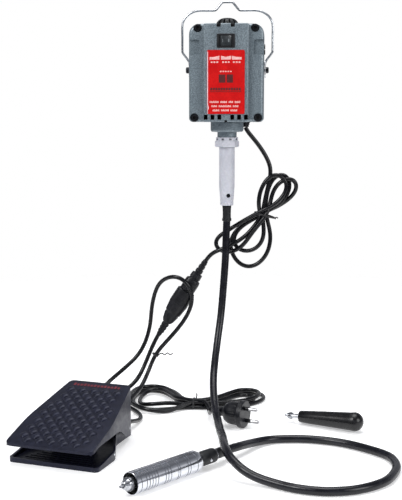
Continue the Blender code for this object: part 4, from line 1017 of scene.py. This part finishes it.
# ACROSS stands an outline drawn in the pedal's side view upright, 70 mm left of its middle.
ACROSS = Matrix.Rotation(pi / 2, 4, "Z") @ Matrix.Rotation(pi / 2, 4, "X")
ACROSS = Matrix.Translation((-70, 0, 0)) @ ACROSS
mouth = slab(((-5, 6), (10, 6), (60, 13), (96, 13), (104, 26), (-5, 26)), 140, (0, 8, 8, 4, 0, 0), 4)
bmesh.ops.transform(mouth, matrix=ACROSS, verts=mouth.verts)
base = carved(base, mouth)
HINGE = Matrix.Translation((0, 128, 16)) @ SIDEWAYS  # where the pin crosses both walls
base = carved(base, rod(2.3, -70, 70, 24, HINGE))
boss = [(0, -2), (5.4, -2), (5.4, 0), (5, 1.6), (5, 2.4), (4.5, 2.8), (4.5, 4.6), (4.7, 5)]
boss += [(4.1, 6.4), (3.8, 8), (0, 8)]
for x in (12, 28):
    backwards = Matrix.Translation((x, 150, 12)) @ Matrix.Rotation(-pi / 2, 4, "X")
    base = carved(base, lathe(boss, 32, backwards), "UNION")
for hand in (-1, 1):
    wall = hand * 56.9
    for y in (18, 34):
        rib = brick((wall - 0.6, y, 3.2), (wall + 0.6, y + 1.6, 6 + y * 0.07))
        joined(base, soften(rib, 0.3, 2, lambda co: True))
    rivet = [(0, 0), (1.9, 0), (1.9, 0.3), (1.2, 0.8), (0, 1)]
    rivet = lathe(rivet, 24, Matrix.Rotation(hand * pi / 2, 4, "Y"))
    joined(base, rivet, Matrix.Translation((hand * 60, 47, 8.5)), paint=1)
for k in range(5):
    rib = soften(brick((-50 + 4 * k, 10, 2.9), (50 - 4 * k, 11.5, 4)), 0.3, 2, lambda co: co.z > 3.5)
    joined(base, rib, Matrix.Translation((0, 7 * k, 0)))
keep("pedal_tray", base, [pedal_abs, zinc_plate], "root", ("pedal_base",), PEDAL)

# Treadle ----------------------------------------------------------------------------------------
# The foot plate, moulded in the same ABS with side skirts, a plain rounded rim and rows of raised
# lozenges for grip. A strip of plain red marks is printed along its back edge.

FRONT, FRONT_HEIGHT = -12.6, 28
RISE, RUN = 42, 150
PLATE = 3  # the thickness of the plate and of its skirts
LOZENGE_PITCH, ROW_PITCH = 16.4, 8.6

strip_red = finish("red_pad_ink", "#641822", "#7a212d", 0.8, (0.45, 0.55))


def plate_height(y):
    """The height of the treadle's upper face at a distance back from the pedal's front."""
    return FRONT_HEIGHT + RISE * (y - FRONT) / RUN


treadle = slab(
    ((58, FRONT), (58, 46), (43.5, 137.4), (-43.5, 137.4), (-58, 46), (-58, FRONT)),
    80,
    (9, 10, 6, 6, 10, 9),
    6,
)
above = slab(((-60, plate_height(-60)), (200, plate_height(200)), (200, 220), (-60, 220)), 140)
bmesh.ops.transform(above, matrix=ACROSS, verts=above.verts)
treadle = carved(treadle, above)
soften(treadle, 5, 6, lambda co: abs(co.z - plate_height(co.y)) < 0.05 and co.y > -12)
room = slab(
    ((55, FRONT - 10), (55, 46), (40.5, 134.4), (-40.5, 134.4), (-55, 46), (-55, FRONT - 10)),
    200,
    (0, 9, 4, 4, 9, 0),
    5,
    lift=-100,
)
under_face = (-60, plate_height(-60) - PLATE), (200, plate_height(200) - PLATE)
lid = slab((*under_face, (200, 220), (-60, 220)), 140)
bmesh.ops.transform(lid, matrix=ACROSS, verts=lid.verts)
treadle = carved(treadle, carved(room, lid))
below = slab(
    (
        (-60, -10), (145, -10), (145, 22), (134, 8), (114, 8), (84, 26), (52, 30),
        (10, plate_height(10) - 5), (-60, plate_height(-60) - 5),
    ),
    140,
    (0, 0, 0, 3, 6, 8, 8, 6, 0),
    4,
)
bmesh.ops.transform(below, matrix=ACROSS, verts=below.verts)
treadle = carved(treadle, below)
treadle = carved(treadle, brick((-40, 125, -10), (40, 150, 31)))
treadle = carved(treadle, rod(2.3, -70, 70, 24, HINGE))


def lozenge():
    """A raised grip lozenge with soft edges, 8.1 by 8.5 mm from its middle to its corners."""
    bm = bmesh.new()
    stretch = Matrix.Diagonal((8.1, 8.5, 1, 1))
    bmesh.ops.create_circle(bm, cap_ends=True, segments=4, radius=1, matrix=stretch)
    grown = bmesh.ops.extrude_face_region(bm, geom=bm.faces[:])
    top = [part for part in grown["geom"] if isinstance(part, bmesh.types.BMVert)]
    bmesh.ops.scale(bm, vec=(0.5, 0.5, 1), verts=top)
    bmesh.ops.translate(bm, vec=(0, 0, 2.5), verts=top)
    return soften(bm, 1.5, 4, lambda co: True)


slope = Matrix.Rotation(atan2(RISE, RUN), 4, "X")
plate_place = Matrix.Translation((0, FRONT, FRONT_HEIGHT)) @ slope
for row in range(15):
    along = 13 + ROW_PITCH * row
    half_width = 54.5 - max(0, along - 58) * 0.155
    for k in range(-4, 5):
        x = LOZENGE_PITCH * (k + row % 2 / 2)
        if abs(x) <= half_width - 7.6:
            joined(treadle, lozenge(), plate_place @ Matrix.Translation((x, along, -0.25)))
for k in range(14):
    left = -34 + 4.8 * k
    back = 147.7 if k % 3 else 148.9
    joined(treadle, brick((left, 143.5, -0.1), (left + 3, back, 0.12)), plate_place, paint=1)
keep("treadle_plate", treadle, [pedal_abs, strip_red], "treadle", ("treadle",), PEDAL, smooth=30)
coat(ground_steel, "hinge_pin")
coat(zinc_plate, "return_spring")

# Speed control ----------------------------------------------------------------------------------
# A black box in the tray with a plunger of natural nylon, which the treadle pushes down.

coat(nylon, "speed_control")
natural_nylon = finish("natural_nylon", "#b9b4a4", "#cfcabb", 1.0, (0.35, 0.5), 0.01, IOR=1.53)
coat(natural_nylon, "control_plunger")

# Inline connector -------------------------------------------------------------------------------
# A flat plug and socket in moulded black PVC that join the motor cord to the pedal lead: waisted
# grips with finger ribs, and ringed strain reliefs at both ends.

moulded_pvc = finish("moulded_black_pvc", "#06070c", "#101118", 1.5, (0.30, 0.42), 0.04, IOR=1.42)
start, end = Vector((-31, 20, -361.5)), Vector((-100, 20, -471))
ahead = (end - start).normalized()
side = Vector((0, 1, 0))
CONNECTOR = Matrix.Translation(start) @ Matrix((side.cross(ahead), side, ahead)).transposed().to_4x4()


def moulding(sections, squareness=0.75, sides=40):
    """A moulded body drawn through rings of (height, half width, half depth), closed at both ends."""
    bm = bmesh.new()
    loops = []
    for height, wide, deep in sections:
        ring = bmesh.ops.create_circle(bm, segments=sides, radius=1)["verts"]
        for point in ring:
            x, y = point.co.x, point.co.y
            flat_x = abs(x) ** squareness * (1 if x > 0 else -1)
            flat_y = abs(y) ** squareness * (1 if y > 0 else -1)
            point.co = (wide * flat_x, deep * flat_y, height)
        loops.append([e for e in bm.edges if all(v in ring for v in e.verts)])
    for a, b in zip(loops, loops[1:]):
        bmesh.ops.bridge_loops(bm, edges=a + b)
    for loop in (loops[0], loops[-1]):
        bmesh.ops.contextual_create(bm, geom=loop)
    return bm


plug = moulding(
    (
        (0, 3.4, 3.4), (1, 3.8, 3.8), (3, 3.8, 3.8), (3.4, 4.3, 4.3), (6, 4.3, 4.3), (6.4, 3.9, 3.9),
        (8, 3.9, 3.9), (8.4, 4.7, 4.7), (12.5, 4.9, 4.9), (13, 4.2, 4.2), (15, 4.2, 4.2),
        (15.5, 5.4, 5.2), (19.5, 5.6, 5.4), (20, 5, 5), (22, 5, 5), (22.6, 7.8, 6.6), (29.5, 8.4, 7),
        (30.4, 7.4, 6.4), (32, 7.6, 6.6), (33.5, 10.2, 8.2), (36, 11, 9), (51, 11, 9),
        (52, 10.4, 8.4),
    )
)
keep("inline_plug_moulding", plug, moulded_pvc, "root", ("inline_plug",), CONNECTOR)
socket = moulding(
    (
        (52.3, 12.4, 9.2), (53.2, 13.4, 10), (56, 13.6, 10.1), (74, 14, 10.5), (76, 13.8, 10.4),
        (90, 12, 9.5), (91, 11, 8.8), (93, 10.6, 8.6), (94, 11, 8.8), (104, 8.4, 7.6),
        (107, 6.6, 6.4), (107.6, 5.2, 5.2),
    )
)
relief = moulding(
    (
        (107.6, 5.1, 5.1), (110, 5.2, 5.2), (110.6, 5.7, 5.7), (113, 5.6, 5.6), (113.6, 4.7, 4.7),
        (115.4, 4.7, 4.7), (116, 5.3, 5.3), (118.4, 5.2, 5.2), (119, 4.4, 4.4), (120.8, 4.4, 4.4),
        (121.4, 4.9, 4.9), (123.6, 4.8, 4.8), (124.2, 4, 4), (129.4, 3.6, 3.6),
    )
)
ribs = bmesh.new()
for k in range(5):
    for hand in (-1, 1):
        rib_place = Matrix.Translation((0, hand * 10.4, 60 + 3.6 * k))
        joined(ribs, brick((-6.5, -0.6, -0.9), (6.5, 0.6, 0.9)), rib_place)
socket = carved(socket, ribs)
keep("inline_socket_moulding", socket, moulded_pvc, "root", ("inline_socket",), CONNECTOR)
keep("inline_socket_relief", relief, moulded_pvc, "root", (), CONNECTOR)

# Mains plug -------------------------------------------------------------------------------------
# A round moulded plug lying on its edge: a flanged face, a waisted grip, a ringed strain relief and
# two nickel-plated pins with rounded ends.

nickel_plate = finish("nickel_plate", "#8e8e90", "#c2c2c4", 0.8, (0.14, 0.24), 0.01, Metallic=1.0)
along_x, along_y = Vector((0.92050, -0.39073, 0)), Vector((-0.12074, -0.28445, 0.95106))
lie = Matrix((along_x, along_y, along_x.cross(along_y))).transposed().to_4x4()
PLUG = Matrix.Translation((17, -110, -549)) @ lie

plug = lathe(
    [
        (0, 15), (17.6, 15), (18.5, 14.2), (18.5, 9), (17.8, 8.2), (16.6, 7.6), (15.6, 3), (15.4, -3),
        (14.6, -8), (12, -12.6), (8, -15.4), (6.6, -17), (6.4, -20), (5.5, -20.4), (5.5, -22),
        (5.9, -22.4), (5.5, -25), (4.8, -25.4), (4.8, -27), (5.2, -27.4), (4.9, -30), (4.3, -30.4),
        (4.3, -32), (4.6, -32.4), (3.8, -36), (0, -36),
    ],
    64,
    SIDEWAYS,
)
grips = bmesh.new()
for k in range(20):
    groove = lathe([(0, -6), (0.9, -5), (0.9, 5.5), (0, 6.5)], 8, SIDEWAYS)
    joined(grips, groove, Matrix.Rotation(2 * pi * k / 20, 4, "X") @ Matrix.Translation((0, 0, 16)))
plug = carved(plug, grips)
for y in (-9.5, 9.5):
    pin = lathe([(0, 34), (1.2, 33.8), (2.1, 33), (2.4, 31.8), (2.4, 14), (0, 14)], 24, SIDEWAYS)
    joined(plug, pin, Matrix.Translation((0, y, 0)), paint=1)
    sheathing = rod(2.55, 14, 22, 24, SIDEWAYS)
    joined(plug, sheathing, Matrix.Translation((0, y, 0)))
finishes = [moulded_pvc, nickel_plate]
keep("mains_plug_round", plug, finishes, "root", ("mains_plug",), PLUG)

# Chuck key --------------------------------------------------------------------------------------
# A hardened shank with a pilot and a toothed bevel pinion, pressed into a tapered handle of glossy
# black plastic with a domed end.

KEY = (
    Matrix.Translation((84, -81, -558.8))
    @ Matrix.Rotation(radians(-25), 4, "Z")
    @ Matrix.Rotation(pi / 2 - atan2(4.8, 91), 4, "Y")
)
shank = [(0, 0), (1.3, 0), (1.6, 0.3), (1.6, 4), (3.2, 4.2), (4.6, 8), (4.6, 11), (3, 11.5)]
shank = lathe([*shank, (3, 36), (0, 36)], 48)
shank = carved(shank, round_z(12, lambda: brick((3, -0.42, 3), (6, 0.42, 12))))
keep("key_shank_toothed", shank, chuck_steel, "chuck_key", ("key_shank",), KEY)

# Injection-moulded handle: deep black with a soft gloss that draws the lamps into long streaks.
gloss_black = finish("gloss_black_plastic", "#050507", "#0c0c0f", 2.0, (0.24, 0.30), 0.0, IOR=1.45)
grip = [(3.3, 37), (3.3, 22), (6.2, 22), (7.4, 22.6), (8, 24)]
grip += [(8 + 4.8 * (h - 22) / 91, h) for h in (40, 60, 80, 96)]
for k in range(9):
    angle = radians(4 + 86 * k / 8)
    grip.append((12.7 * cos(angle), 100.6 + 12.3 * sin(angle)))
grip[-1] = (0, 113)
grip.append((0, 37))
keep("key_grip", lathe(grip, 64), gloss_black, "chuck_key", ("key_handle",), KEY)

# Cord ties --------------------------------------------------------------------------------------
# Iron wire in black PVC, twisted by hand round the two hanks and round one strand of the pedal lead
# below the connector, with short ends left standing.

tie_pvc = finish("tie_wire_pvc", "#0c0c0e", "#17171a", 1.0, (0.35, 0.5), 0.02, IOR=1.53)


def wire_tie(name, middle, half, turn, tail):
    """Two turns of wire round a bundle, pulled to an oval `half` wide and deep, and a loose end
    that runs through the points of `tail`, given from the tie's middle."""
    steps = 48
    route = []
    for k in range(steps + 1):
        angle = 4 * pi * k / steps
        spot = Vector((half[0] * cos(angle), half[1] * sin(angle), 1.8 * (k / steps - 0.5)))
        route.append(Vector(middle) + turn @ spot)
    route += [Vector(middle) + Vector(spot) for spot in tail]
    return cord_curve(name, smooth_route(route, 1.2), 0.8, tie_pvc)


wire_tie(
    "motor_hank_tie",
    (54, 21.5, -295),
    (15.5, 13),
    Matrix.Rotation(radians(16), 3, "Y"),
    ((16.8, 0, -3.1), (18.1, -2, -4)),
)
wire_tie(
    "mains_hank_tie",
    (-45, -22.5, -561),
    (14.6, 6.1),
    Matrix.Rotation(pi / 2, 3, "Z") @ Matrix.Rotation(pi / 2, 3, "X"),
    ((2, 15.6, 3), (3, 16, 6.5), (2.5, 14.5, 9.5)),
)
wire_tie(
    "pedal_lead_tie",
    (-103.3, 3.6, -497.6),
    (4.2, 4.2),
    Matrix.Rotation(radians(31), 3, "Y"),
    ((6, -2, 1), (10, -3, 3), (14, -3, 0.5), (18, -3, 3.5), (22, -3, 1), (26, -2, 3)),
)
